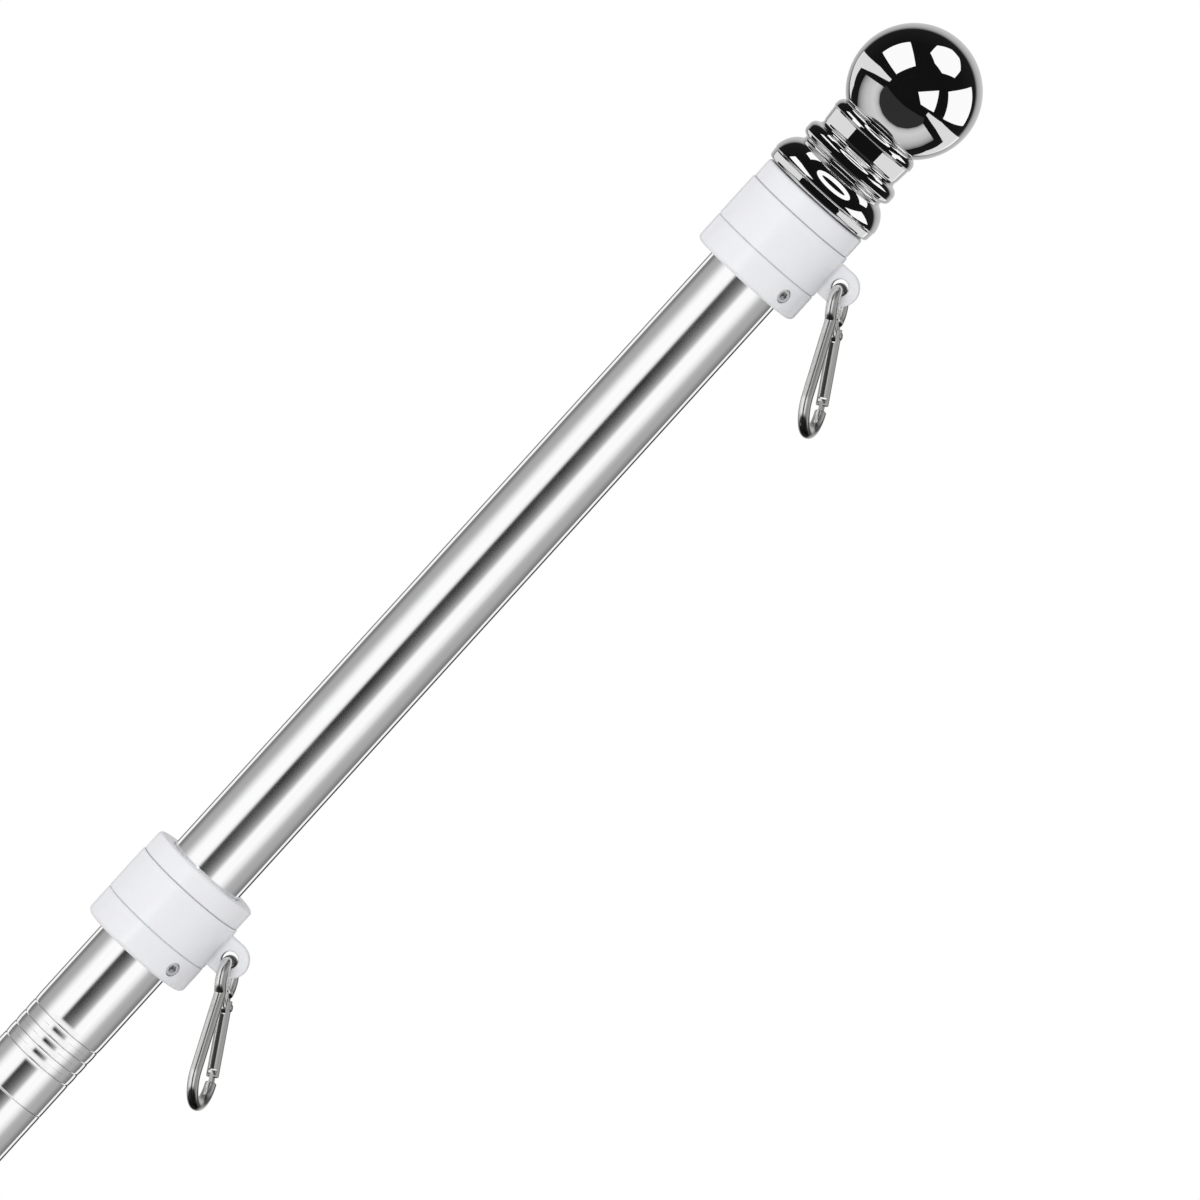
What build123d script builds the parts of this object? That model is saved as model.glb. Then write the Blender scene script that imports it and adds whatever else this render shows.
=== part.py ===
"""Wall flagpole: five push-together steel tubes that stand in a cast wall
bracket, with a ball finial and two swivel rings that carry snap hooks.

Millimetres. +X points out from the wall, +Z up and +Y along the wall. The
origin is where the pole's axis meets the wall, on the bracket's flat back.
"""

import os
from math import asin, cos, degrees, radians, sin, sqrt, tan

from build123d import *

os.makedirs("parts", exist_ok=True)

# Pole
pole_tilt = 47.6  # degrees above the horizontal
pole_diameter = 25.4
pole_wall = 0.5
section_count = 5
section_length = 363.0  # from one seam to the next
section_seam = 0.3
neck_length = 35.0
neck_play = 0.1  # between the neck's beads and the tube over them
neck_bead_count = 3
bead_height = 0.4
shoulder_length = 1.6
groove_first = 12.7  # from the tube's lower end
groove_pitch = 4.4
groove_count = 4
groove_width = 1.7
groove_depth = 0.3

# Finial
finial_seam = 0.3
rim_radius = 19.5
rim_height = 4.6
rim_edge = 0.9
bell_height = 11.6
waist_radius = 14.7
bead_radius = 16.8
bead_top = 17.4
collar_radius = 14.4
ball_radius = 20.6
ball_height = 43.3  # ball's centre above the rim
ball_seat_play = 0.05
neck_headroom = 1.0  # between the pole's neck and the ball

# Swivel rings
ring_play = 0.2  # between the pole and the ring's bore
ring_radius = 18.9
sleeve_wall = 2.4
collar_height = 9.8
band_height = 15.3
flange_height = 6.9
flange_step = 0.35  # how far the flange stands in from the band
running_gap = 0.25  # round the turning band, on every side
ring_edge = 1.0
upper_ring_below_finial = 0.4
lower_ring_height = 74.2  # band's middle above the top tube's lower end
screw_radius = 2.4
screw_turn = 44.0  # degrees round the pole from the lug
screw_recess = 0.7
screw_tip_gap = 0.1  # between a grub screw's tip and the pole
hex_across = 2.5
hex_depth = 2.0

# Lug on the turning band
lug_reach = 23.3  # pole's axis to the hole's centre
lug_thickness = 4.3
lug_end_radius = 5.8
lug_hole_radius = 2.6
lug_hole_rounding = 0.9

# Snap hooks
wire_radius = 1.8
hang_tilt = 10.5  # degrees from the vertical, the foot towards the wall
hook_yaw = 11.0  # degrees turned in the lug's hole
hook_drop = 0.3  # wire's centre below the hole's centre
eye_radius = 5.6
kink_radius = 2.2
kink_angle = 56.0  # degrees round the eye, below its middle
spine_angle = 22.0
spine_length = 24.6
foot_radius = 7.8
nose_radius = 10.0
nose_sweep = 70.0
gate_offset = 3.3  # gate's line from the eye's middle
gate_radius = 1.95
gate_start = 12.4  # from the lug hole's centre
gate_end_gap = 2.0  # between the gate's end and the nose
pivot_setback = 2.1  # rivet's centre from the gate's end
rivet_radius = 0.7
rivet_play = 0.05
rivet_head_radius = 1.2
rivet_head_height = 0.4
tang_thickness = 1.5
tang_play = 0.15
tang_root_inset = 0.36  # tang's corners inside the wire's end
tang_root_depth = 1.08
latch_neck = 1.1
latch_head = 2.4
latch_head_length = 1.0
latch_setback = 1.2
latch_inset = 0.45  # latch's faces inside the wire's
latch_play = 0.4
latch_side_play = 0.2

# Wall bracket
bracket_play = 0.6  # between the pole and the bracket's bore
bracket_wall = 3.5
casting_edge = 0.9
weld_overlap = 1.0  # how far joined forms run into each other
plate_thickness = 5.5
plate_corner_rounding = 3.0
plate_edge = 1.1
plate_tip_radius = 17.5
plate_tip_sweep = 58.0
plate_half_width = 30.0
plate_cusp_rise = 15.0  # cusp above the upper corners
plate_scallop = 3.5
wall_hole_radius = 2.5
wall_hole_spacing = 45.0  # between the two upper holes
wall_hole_rise = 75.0  # upper holes above the lower one
wall_hole_to_tip = 9.4
lower_hole_below_axis = 22.0
upper_hole_to_corner = 8.0
boss_height = 24.0
boss_flare = 0.8
boss_foot_low = 7.0  # end of the boss below the axis, on the plate
boss_foot_high = 52.0
boss_top_high = 33.0
boss_corner_rounding = 2.5
foot_clearance = 1.5  # between the pole's foot and the plate's face
socket_screw_height = 12.8  # above the pole's foot
socket_screw_radius = 2.9
socket_screw_recess = 2.0
socket_hex_across = 3.0
socket_boss_radius = 5.2
socket_boss_height = 3.0
socket_boss_edge = 0.8
front_ring_reach = 119.5  # along the pole's axis from the wall
front_ring_length = 18.3
front_ring_wall = 3.9
ring_face_tilt = 7.0  # degrees between the ring's faces and the level
spare_tilt = 15.0  # second pole position, above the horizontal
spare_ring_reach = 90.0  # out from the wall
spare_ring_length = 16.0
spare_base_rise = 24.0  # second axis above the origin, at the boss's top
spare_face_tilt = 52.0  # front face of the second ring, from the level
spare_back_tilt = 45.6  # and its back
shank_front_tilt = 52.2  # degrees from the wall, edge towards the second ring
shank_back_tilt = 47.6  # edge towards the wall
shank_root_width = 13.0
shank_root_rise = 25.4  # front edge above the origin, at the boss's top
shank_lip = 8.0  # upper edge from the pole's axis, between the two rings
shank_inset = 3.0  # how far the shank runs into the front ring
arm_inset = 2.5  # arm's back in front of the second ring's back
crook_rounding = 5.0
valley_rounding = 1.5
blind_boss_radius = 4.2
blind_boss_height = 1.2
blind_boss_edge = 0.6

# Directions of the pole, of the lug and of the wall
tilt = radians(pole_tilt)
pole_direction = Vector(cos(tilt), 0, sin(tilt))
lug_direction = Vector(sin(tilt), 0, -cos(tilt))
pole_axis = Axis((0, 0, 0), pole_direction)
pole_radius = pole_diameter / 2


def on_pole(distance):
    """Point of the pole's axis at a distance from the wall."""
    return pole_direction * distance


def across_pole(distance):
    """Plane square to the pole, local x towards the lug and local y along +Y."""
    return Plane(origin=on_pole(distance), x_dir=lug_direction, z_dir=pole_direction)


def along_pole(distance):
    """Plane for turned profiles, local x out from the axis and local y up it."""
    return Plane(origin=on_pole(distance), x_dir=lug_direction, z_dir=(0, -1, 0))


def save(builder, name):
    """Label the finished piece and write it."""
    builder.part.label = name
    export_step(builder.part, f"parts/{name}.step")


# The pole's foot stands clear of the plate's front face by its lower corner
foot_distance = (plate_thickness + foot_clearance + pole_radius * sin(tilt)) / cos(tilt)
section_pitch = section_length + section_seam
bore_radius = pole_radius - pole_wall
bead_tip_radius = bore_radius - neck_play
neck_radius = bead_tip_radius - bead_height


def groove_points(radius, middle, width, depth):
    """Three points of a shallow rolled groove, or of a bead if depth is negative."""
    return [
        (radius, middle - width / 2),
        (radius - depth, middle),
        (radius, middle + width / 2),
    ]


def pole_section(number):
    """One tube, with rolled grooves at its foot and a beaded neck at its top."""
    shoulder = section_length - shoulder_length
    with BuildPart() as section:
        with BuildSketch(along_pole(foot_distance + (number - 1) * section_pitch)):
            with BuildLine():
                outer = [(bore_radius, 0), (pole_radius, 0)]
                # The lowest tube stands in the bracket and has a plain foot
                if number > 1:
                    for groove in range(groove_count):
                        middle = groove_first + groove * groove_pitch
                        outer += groove_points(pole_radius, middle, groove_width, groove_depth)
                outer += [(pole_radius, shoulder)]
                Polyline(outer)
                Spline(
                    (pole_radius, shoulder),
                    (neck_radius, section_length),
                    tangents=[(0, 1), (0, 1)],
                )
                neck = [(neck_radius, section_length)]
                for bead in range(neck_bead_count):
                    middle = section_length + groove_first + (2 * bead - 0.5) * groove_pitch
                    neck += groove_points(neck_radius, middle, groove_width, -bead_height)
                neck += [
                    (neck_radius, section_length + neck_length),
                    (neck_radius - pole_wall, section_length + neck_length),
                    (neck_radius - pole_wall, section_length),
                    (bore_radius, shoulder - pole_wall),
                    (bore_radius, 0),
                ]
                Polyline(neck)
            make_face()
        revolve(axis=pole_axis)
    save(section, f"pole_section_{number}")


for number in range(1, section_count + 1):
    pole_section(number)

top_section_distance = foot_distance + (section_count - 1) * section_pitch
finial_distance = top_section_distance + section_length + finial_seam

# Finial: a turned bell, bead and collar, with the ball seated in the collar
seat_radius = ball_radius + ball_seat_play
socket_radius = bead_tip_radius + neck_play
collar_top = ball_height - sqrt(seat_radius**2 - collar_radius**2)
seat_foot = ball_height - sqrt(seat_radius**2 - socket_radius**2)

with BuildPart() as finial_base:
    with BuildSketch(along_pole(finial_distance)):
        with BuildLine():
            Polyline(
                (socket_radius, seat_foot),
                (socket_radius, 0),
                (rim_radius - rim_edge, 0),
                (rim_radius, rim_edge),
                (rim_radius, rim_height),
            )
            Spline(
                (rim_radius, rim_height),
                (waist_radius, bell_height),
                tangents=[(-0.25, 1), (-0.5, 1)],
            )
            ThreePointArc(
                (waist_radius, bell_height),
                (bead_radius, (bell_height + bead_top) / 2),
                (collar_radius, bead_top),
            )
            Line((collar_radius, bead_top), (collar_radius, collar_top))
            ThreePointArc(
                (collar_radius, collar_top),
                (
                    (collar_radius + socket_radius) / 2,
                    ball_height - sqrt(seat_radius**2 - ((collar_radius + socket_radius) / 2) ** 2),
                ),
                (socket_radius, seat_foot),
            )
        make_face()
    revolve(axis=pole_axis)
save(finial_base, "finial_base")

neck_top = neck_length - finial_seam
with BuildPart() as finial_ball:
    with BuildSketch(along_pole(finial_distance)):
        with BuildLine():
            ball_foot = ball_height - sqrt(ball_radius**2 - socket_radius**2)
            Polyline(
                (socket_radius, ball_foot),
                (socket_radius, neck_top + neck_headroom),
                (0, neck_top + neck_headroom),
                (0, ball_height + ball_radius),
            )
            ThreePointArc(
                (0, ball_height + ball_radius),
                (ball_radius, ball_height),
                (socket_radius, ball_foot),
            )
        make_face()
    revolve(axis=pole_axis)
save(finial_ball, "finial_ball")


# Swivel rings
ring_bore = pole_radius + ring_play
sleeve_radius = ring_bore + sleeve_wall
half_band = band_height / 2


def screw_plane(distance):
    """Plane square to the grub screw, its normal pointing out of the ring."""
    turn = radians(screw_turn)
    outward = lug_direction * cos(turn) + Vector(0, -1, 0) * sin(turn)
    return Plane(origin=on_pole(distance), x_dir=pole_direction, z_dir=outward)


def swivel_ring(name, middle):
    """Collar with its sleeve, cap flange, grub screw and turning band."""
    collar_foot = -half_band - running_gap - collar_height
    flange_foot = half_band + running_gap
    flange_top = flange_foot + flange_height
    flange_radius = ring_radius - flange_step
    screw_distance = middle - half_band - running_gap - collar_height / 2

    with BuildPart() as collar:
        with BuildSketch(along_pole(middle)):
            Polygon(
                (ring_bore, collar_foot),
                (ring_radius - ring_edge, collar_foot),
                (ring_radius, collar_foot + ring_edge),
                (ring_radius, -half_band - running_gap),
                (sleeve_radius, -half_band - running_gap),
                (sleeve_radius, flange_foot),
                (ring_bore, flange_foot),
                align=None,
            )
        revolve(axis=pole_axis)
        with BuildSketch(screw_plane(screw_distance)):
            Circle(screw_radius)
        extrude(amount=ring_radius + 1, mode=Mode.SUBTRACT)
    save(collar, f"{name}_ring_collar")

    with BuildPart() as flange:
        with BuildSketch(along_pole(middle)):
            Polygon(
                (ring_bore, flange_foot),
                (flange_radius, flange_foot),
                (flange_radius, flange_top - ring_edge),
                (flange_radius - ring_edge, flange_top),
                (ring_bore, flange_top),
                align=None,
            )
        revolve(axis=pole_axis)
    save(flange, f"{name}_ring_flange")

    screw_tip = pole_radius + screw_tip_gap
    with BuildPart() as screw:
        with BuildSketch(screw_plane(screw_distance).offset(screw_tip)):
            Circle(screw_radius)
        extrude(amount=ring_radius - screw_recess - screw_tip)
        with BuildSketch(screw_plane(screw_distance).offset(ring_radius - screw_recess)):
            RegularPolygon(hex_across / 2, 6, major_radius=False)
        extrude(amount=-hex_depth, mode=Mode.SUBTRACT)
    save(screw, f"{name}_ring_screw")

    with BuildPart() as band:
        # The tab runs into the band's wall, and the band's bore trims it
        with BuildSketch(Plane(origin=on_pole(middle), x_dir=lug_direction, z_dir=(0, -1, 0))):
            with Locations((lug_reach, 0)):
                Circle(lug_end_radius)
            with Locations(((sleeve_radius + lug_reach) / 2, 0)):
                Rectangle(lug_reach - sleeve_radius, 2 * lug_end_radius)
            with Locations((lug_reach, 0)):
                Circle(lug_hole_radius, mode=Mode.SUBTRACT)
        extrude(amount=lug_thickness / 2, both=True)
        hole_rims = band.edges().filter_by(GeomType.CIRCLE)
        hole_rims = hole_rims.filter_by(lambda rim: abs(rim.radius - lug_hole_radius) < 1e-6)
        fillet(hole_rims, lug_hole_rounding)
        with BuildSketch(across_pole(middle - half_band)):
            Circle(ring_radius)
        extrude(amount=band_height)
        with BuildSketch(across_pole(middle - half_band)):
            Circle(sleeve_radius + running_gap)
        extrude(amount=band_height, mode=Mode.SUBTRACT)
    save(band, f"{name}_ring_band")


# Snap hooks. Local x runs down the hook from the lug hole's centre, local y
# towards the gate, and z is square to the hook.
hang = Vector(-sin(radians(hang_tilt)), 0, -cos(radians(hang_tilt)))
square_to_hang = Vector(cos(radians(hang_tilt)), 0, -sin(radians(hang_tilt)))
gate_side = Vector(0, 1, 0) * cos(radians(hook_yaw)) + square_to_hang * sin(radians(hook_yaw))
hook_normal = hang.cross(gate_side)

eye_centre = Vector(hook_drop + eye_radius, 0)
eye_end_angle = degrees(asin(gate_offset / eye_radius))
kink_turn = radians(-kink_angle)
kink_centre = eye_centre + Vector(cos(kink_turn), sin(kink_turn)) * (eye_radius + kink_radius)
spine = radians(spine_angle)
spine_heading = Vector(cos(spine), -sin(spine))
spine_left = Vector(sin(spine), cos(spine))
spine_start = kink_centre + spine_left * kink_radius
spine_end = spine_start + spine_heading * spine_length
foot_centre = spine_end + spine_left * foot_radius
nose_centre = foot_centre + Vector(foot_radius - nose_radius, 0)
nose_turn = radians(nose_sweep)
nose = nose_centre + Vector(cos(nose_turn), sin(nose_turn)) * nose_radius
gate_end = nose.X - gate_end_gap
gate_length = gate_end - gate_start
rivet_centre = Vector(gate_start + pivot_setback, gate_offset)
eye_end = eye_centre + Vector(cos(radians(eye_end_angle)), sin(radians(eye_end_angle))) * eye_radius
latch_foot = gate_end - latch_setback


def in_plane(point):
    """A point of the hook's outline as a pair of local coordinates."""
    return (point.X, point.Y)


def snap_hook(name, middle):
    """Bent wire hook, sprung gate and the rivet that the gate turns on."""
    lug_hole = on_pole(middle) + lug_direction * lug_reach
    hook_plane = Plane(origin=lug_hole, x_dir=hang, z_dir=hook_normal)
    # Plane along the gate and square to the hook, for the T-shaped latch
    latch_plane = Plane(
        origin=lug_hole + gate_side * gate_offset, x_dir=hang, z_dir=gate_side
    )
    gate_plane = Plane(
        origin=lug_hole + hang * gate_start + gate_side * gate_offset,
        x_dir=gate_side,
        z_dir=hang,
    )

    with BuildPart() as hook:
        with BuildLine(hook_plane) as wire:
            CenterArc(in_plane(eye_centre), eye_radius, eye_end_angle, 360 - kink_angle - eye_end_angle)
            CenterArc(
                in_plane(kink_centre), kink_radius, 180 - kink_angle, kink_angle - spine_angle - 90
            )
            Line(in_plane(spine_start), in_plane(spine_end))
            CenterArc(in_plane(foot_centre), foot_radius, -90 - spine_angle, 90 + spine_angle)
            CenterArc(in_plane(nose_centre), nose_radius, 0, nose_sweep)
        with BuildSketch(Plane(origin=wire.line @ 0, z_dir=wire.line % 0)):
            Circle(wire_radius)
        sweep(path=wire.line)
        with BuildSketch(hook_plane):
            with Locations(rivet_centre):
                Circle(gate_radius - tang_play)
            with BuildLine():
                Polyline(
                    (rivet_centre.X, rivet_centre.Y + gate_radius - tang_play),
                    (eye_end.X, eye_end.Y + wire_radius - tang_root_inset),
                    (eye_end.X - tang_root_depth, eye_end.Y),
                    (eye_end.X, eye_end.Y - wire_radius + tang_root_inset),
                    (rivet_centre.X, rivet_centre.Y - gate_radius + tang_play),
                    close=True,
                )
            make_face()
            with Locations(rivet_centre):
                Circle(rivet_radius, mode=Mode.SUBTRACT)
        extrude(amount=tang_thickness / 2, both=True)
        with BuildSketch(latch_plane):
            with Locations((latch_foot - latch_head_length / 2, 0)):
                Rectangle(latch_head_length, latch_head)
            with Locations(((latch_foot + nose.X) / 2, 0)):
                Rectangle(nose.X - latch_foot, latch_neck)
        extrude(amount=wire_radius - latch_inset, both=True)
    save(hook, f"{name}_hook")

    with BuildPart() as gate:
        with BuildSketch(gate_plane):
            Circle(gate_radius)
        extrude(amount=gate_length)
        with BuildSketch(latch_plane):
            slot_length = pivot_setback + gate_radius + tang_play
            with Locations((gate_start + slot_length / 2, 0)):
                Rectangle(slot_length, tang_thickness + 2 * tang_play)
            with Locations((latch_foot - latch_head_length / 2, 0)):
                Rectangle(latch_head_length + 2 * latch_play, latch_head + 2 * latch_side_play)
            with Locations(((latch_foot + gate_end) / 2, 0)):
                Rectangle(gate_end - latch_foot, latch_neck + 2 * latch_side_play)
        extrude(amount=gate_radius, both=True, mode=Mode.SUBTRACT)
        with BuildSketch(hook_plane):
            with Locations(rivet_centre):
                Circle(rivet_radius + rivet_play)
        extrude(amount=gate_radius, both=True, mode=Mode.SUBTRACT)
    save(gate, f"{name}_gate")

    with BuildPart() as rivet:
        with BuildSketch(hook_plane):
            with Locations(rivet_centre):
                Circle(rivet_radius)
        extrude(amount=gate_radius + rivet_play, both=True)
        for side in (1, -1):
            head_plane = hook_plane.offset(side * (gate_radius + rivet_play))
            with BuildSketch(head_plane):
                with Locations(rivet_centre):
                    Circle(rivet_head_radius)
            extrude(amount=side * rivet_head_height)
    save(rivet, f"{name}_gate_rivet")


flange_top = half_band + running_gap + flange_height
upper_middle = finial_distance - upper_ring_below_finial - flange_top
lower_middle = top_section_distance + lower_ring_height

for name, middle in (("upper", upper_middle), ("lower", lower_middle)):
    swivel_ring(name, middle)
    snap_hook(name, middle)


# Wall bracket, one aluminium casting
casting_bore = pole_radius + bracket_play
casting_half_width = casting_bore + bracket_wall
ring_outer = casting_bore + front_ring_wall
lower_hole_z = -lower_hole_below_axis
upper_hole_z = lower_hole_z + wall_hole_rise
tip_z = lower_hole_z - wall_hole_to_tip
corner_z = upper_hole_z + upper_hole_to_corner
cusp_z = corner_z + plate_cusp_rise
boss_top = plate_thickness + boss_height
spare_direction = Vector(cos(radians(spare_tilt)), 0, sin(radians(spare_tilt)))
spare_start = Vector(boss_top, 0, spare_base_rise)


def on_spare(out_from_wall):
    """Point of the second position's axis at a distance out from the wall."""
    return spare_start + spare_direction * ((out_from_wall - boss_top) / spare_direction.X)


def slanted_plane(centre, face_tilt):
    """Plane square to the casting's side, tilted from the level."""
    turn = radians(face_tilt)
    return Plane(origin=centre, z_dir=(sin(turn), 0, cos(turn)))


def side_of(vector):
    """A place or direction in the casting's side view, out and up."""
    return Vector(vector.X, vector.Z)


def crossing(point, heading, other_point, other_heading):
    """Where two lines of the side view cross."""
    normal = Vector(-other_heading.Y, other_heading.X)
    return point + heading * ((other_point - point).dot(normal) / heading.dot(normal))


# Both rings are slanted slices of a tube round their own axis
front_back = on_pole(front_ring_reach - front_ring_length)
with BuildPart() as front_ring:
    with BuildSketch(across_pole(front_ring_reach - 2 * front_ring_length)):
        Circle(ring_outer)
    extrude(amount=4 * front_ring_length)
    split(bisect_by=slanted_plane(on_pole(front_ring_reach), ring_face_tilt), keep=Keep.BOTTOM)
    split(bisect_by=slanted_plane(front_back, ring_face_tilt), keep=Keep.TOP)
    chamfer(front_ring.edges().filter_by(GeomType.ELLIPSE), casting_edge)

spare_centre = on_spare(spare_ring_reach)
spare_back = spare_centre - spare_direction * spare_ring_length
with BuildPart() as spare_ring:
    with BuildSketch(
        Plane(origin=spare_centre - spare_direction * 2 * spare_ring_length, z_dir=spare_direction)
    ):
        Circle(ring_outer)
    extrude(amount=4 * spare_ring_length)
    split(bisect_by=slanted_plane(spare_centre, spare_face_tilt), keep=Keep.BOTTOM)
    split(bisect_by=slanted_plane(spare_back, spare_back_tilt), keep=Keep.TOP)
    chamfer(spare_ring.edges().filter_by(GeomType.ELLIPSE), casting_edge)

# Shank and arm, one flat-sided web drawn from the side
front_lean = radians(shank_front_tilt)
back_lean = radians(shank_back_tilt)
front_heading = Vector(sin(front_lean), cos(front_lean))
back_heading = Vector(sin(back_lean), cos(back_lean))
front_root = Vector(boss_top, shank_root_rise)
back_root = front_root + Vector(-cos(front_lean), sin(front_lean)) * shank_root_width
face_heading = Vector(cos(radians(spare_face_tilt)), -sin(radians(spare_face_tilt)))
arm_heading = Vector(cos(radians(spare_back_tilt)), -sin(radians(spare_back_tilt)))
arm_back = side_of(spare_back) + Vector(-arm_heading.Y, arm_heading.X) * arm_inset
ring_heading = Vector(cos(radians(ring_face_tilt)), -sin(radians(ring_face_tilt)))
lip = side_of(on_pole(front_ring_reach) + lug_direction * shank_lip)
shank_end = side_of(front_back + pole_direction * shank_inset)
crook = crossing(front_root, front_heading, arm_back, arm_heading)
valley = crossing(lip, side_of(pole_direction), side_of(spare_centre), face_heading)
lip_end = crossing(lip, side_of(pole_direction), shank_end, ring_heading)
with BuildPart() as web:
    with BuildSketch(Plane.XZ):
        with BuildLine():
            Polyline(
                front_root - front_heading * boss_height / 2,
                crook,
                arm_back,
                side_of(spare_centre),
                valley,
                lip_end,
                crossing(back_root, back_heading, shank_end, ring_heading),
                back_root,
                back_root - front_heading * boss_height / 2,
                close=True,
            )
        make_face()
        fillet(vertices().sort_by_distance(crook)[0], crook_rounding)
        # A lip shorter than this takes less rounding beside it
        valley_limit = (lip_end - valley).length / 5
        fillet(vertices().sort_by_distance(valley)[0], min(valley_rounding, valley_limit))
    extrude(amount=casting_half_width, both=True)
    flanks = web.faces().filter_by(Axis.Y)
    chamfer(flanks.edges(), casting_edge)


def boss_outline(half_width, middle, high):
    """Outline of the boss seen from the front, round below and flat above."""
    with BuildSketch() as outline:
        with BuildLine():
            Polyline(
                (half_width, middle),
                (half_width, high),
                (-half_width, high),
                (-half_width, middle),
            )
            CenterArc((0, middle), half_width, 180, 180)
        make_face()
        corners = [corner for corner in outline.vertices() if abs(corner.Y - high) < 1e-6]
        fillet(corners, boss_corner_rounding)
    return outline.sketch


# Hollow boss that stands on the plate round the pole's foot
half_foot = casting_half_width + boss_flare
boss_foot_outline = boss_outline(half_foot, half_foot - boss_foot_low, boss_foot_high)
boss_top_outline = boss_outline(casting_half_width, spare_base_rise, boss_top_high)
with BuildPart() as boss:
    with BuildSketch(Plane.YZ.offset(plate_thickness / 2)):
        add(boss_foot_outline)
    with BuildSketch(Plane.YZ.offset(boss_top)):
        add(boss_top_outline)
    loft()
    chamfer(boss.faces().sort_by(Axis.X)[-1].edges(), casting_edge)

with BuildPart() as wall_bracket:
    # Shield-shaped plate with a rounded tip and a scalloped upper edge
    with BuildSketch(Plane.YZ):
        with BuildLine():
            tip_turn = radians(plate_tip_sweep)
            tip_end = (
                plate_tip_radius * sin(tip_turn),
                tip_z + plate_tip_radius * (1 - cos(tip_turn)),
            )
            CenterArc((0, tip_z + plate_tip_radius), plate_tip_radius, -90, plate_tip_sweep)
            TangentArc(
                tip_end,
                (plate_half_width, corner_z),
                tangent=(cos(tip_turn), sin(tip_turn)),
            )
            chord = sqrt(plate_half_width**2 + plate_cusp_rise**2)
            ThreePointArc(
                (plate_half_width, corner_z),
                (
                    plate_half_width / 2 - plate_scallop * plate_cusp_rise / chord,
                    corner_z + plate_cusp_rise / 2 - plate_scallop * plate_half_width / chord,
                ),
                (0, cusp_z),
            )
            mirror(about=Plane.YZ)
        make_face()
        corners = [
            v for v in vertices() if abs(v.Y - corner_z) < 1e-6 or abs(v.Y - cusp_z) < 1e-6
        ]
        fillet(corners, plate_corner_rounding)
    extrude(amount=plate_thickness)
    chamfer(wall_bracket.faces().sort_by(Axis.X)[-1].edges(), plate_edge)
    add(boss.part)
    add(web.part)
    add(front_ring.part)
    add(spare_ring.part)

    # Threaded boss for the socket's grub screw
    screw_point = on_pole(foot_distance + socket_screw_height)
    socket_screw_plane = Plane(origin=screw_point, x_dir=pole_direction, z_dir=(0, 1, 0))
    socket_boss_top = casting_half_width + socket_boss_height
    with BuildSketch(socket_screw_plane.offset(casting_half_width - weld_overlap)):
        Circle(socket_boss_radius)
    extrude(amount=weld_overlap + socket_boss_height)
    chamfer(wall_bracket.faces().sort_by(Axis.Y)[-1].edges(), socket_boss_edge)

    # Blind bosses on the rings, on the screw's side
    blind_boss_top = ring_outer + blind_boss_height
    for centre in (
        on_pole(front_ring_reach - front_ring_length / 2),
        spare_centre - spare_direction * spare_ring_length / 2,
    ):
        with BuildSketch(Plane(origin=centre, z_dir=(0, 1, 0)).offset(casting_bore + weld_overlap)):
            Circle(blind_boss_radius)
        extrude(amount=blind_boss_top - casting_bore - weld_overlap)
    blind_tops = wall_bracket.faces().filter_by(
        lambda face: abs(face.center().Y - blind_boss_top) < 1e-6
    )
    chamfer(blind_tops.edges(), blind_boss_edge)

    # Both pole positions share the hollow in the boss
    with BuildSketch(across_pole(foot_distance)):
        Circle(casting_bore)
    extrude(amount=front_ring_reach + ring_outer, mode=Mode.SUBTRACT)
    spare_foot = on_spare(plate_thickness + foot_clearance + casting_bore * sin(radians(spare_tilt)))
    with BuildSketch(Plane(origin=spare_foot, z_dir=spare_direction)):
        Circle(casting_bore)
    extrude(amount=spare_ring_reach + ring_outer, mode=Mode.SUBTRACT)

    with BuildSketch(socket_screw_plane):
        Circle(socket_screw_radius)
    extrude(amount=socket_boss_top, mode=Mode.SUBTRACT)

    # Screw holes through the plate
    with BuildSketch(Plane.YZ):
        with Locations(
            (0, lower_hole_z),
            (-wall_hole_spacing / 2, upper_hole_z),
            (wall_hole_spacing / 2, upper_hole_z),
        ):
            Circle(wall_hole_radius)
    extrude(amount=plate_thickness, mode=Mode.SUBTRACT)
save(wall_bracket, "wall_bracket")

with BuildPart() as bracket_set_screw:
    socket_screw_tip = pole_radius + screw_tip_gap
    socket_screw_end = socket_boss_top - socket_screw_recess
    with BuildSketch(socket_screw_plane.offset(socket_screw_tip)):
        Circle(socket_screw_radius)
    extrude(amount=socket_screw_end - socket_screw_tip)
    with BuildSketch(socket_screw_plane.offset(socket_screw_end)):
        RegularPolygon(socket_hex_across / 2, 6, major_radius=False)
    extrude(amount=-hex_depth, mode=Mode.SUBTRACT)
save(bracket_set_screw, "bracket_set_screw")
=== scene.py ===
"""Looks of the wall flagpole: mirror-bright steel tubes, a chrome ball finial,
white swivel rings with snap hooks, and the cast aluminium wall bracket.

Pieces are drawn in millimetres round the pole's own axis and then put in place
in metres. The pole's local x points to the rings' lugs and its z up the pole.
"""

from math import asin, cos, pi, radians, sin, sqrt, tau

import bmesh
import bpy
from bmesh.types import BMEdge, BMVert
from mathutils import Matrix, Vector


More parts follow.
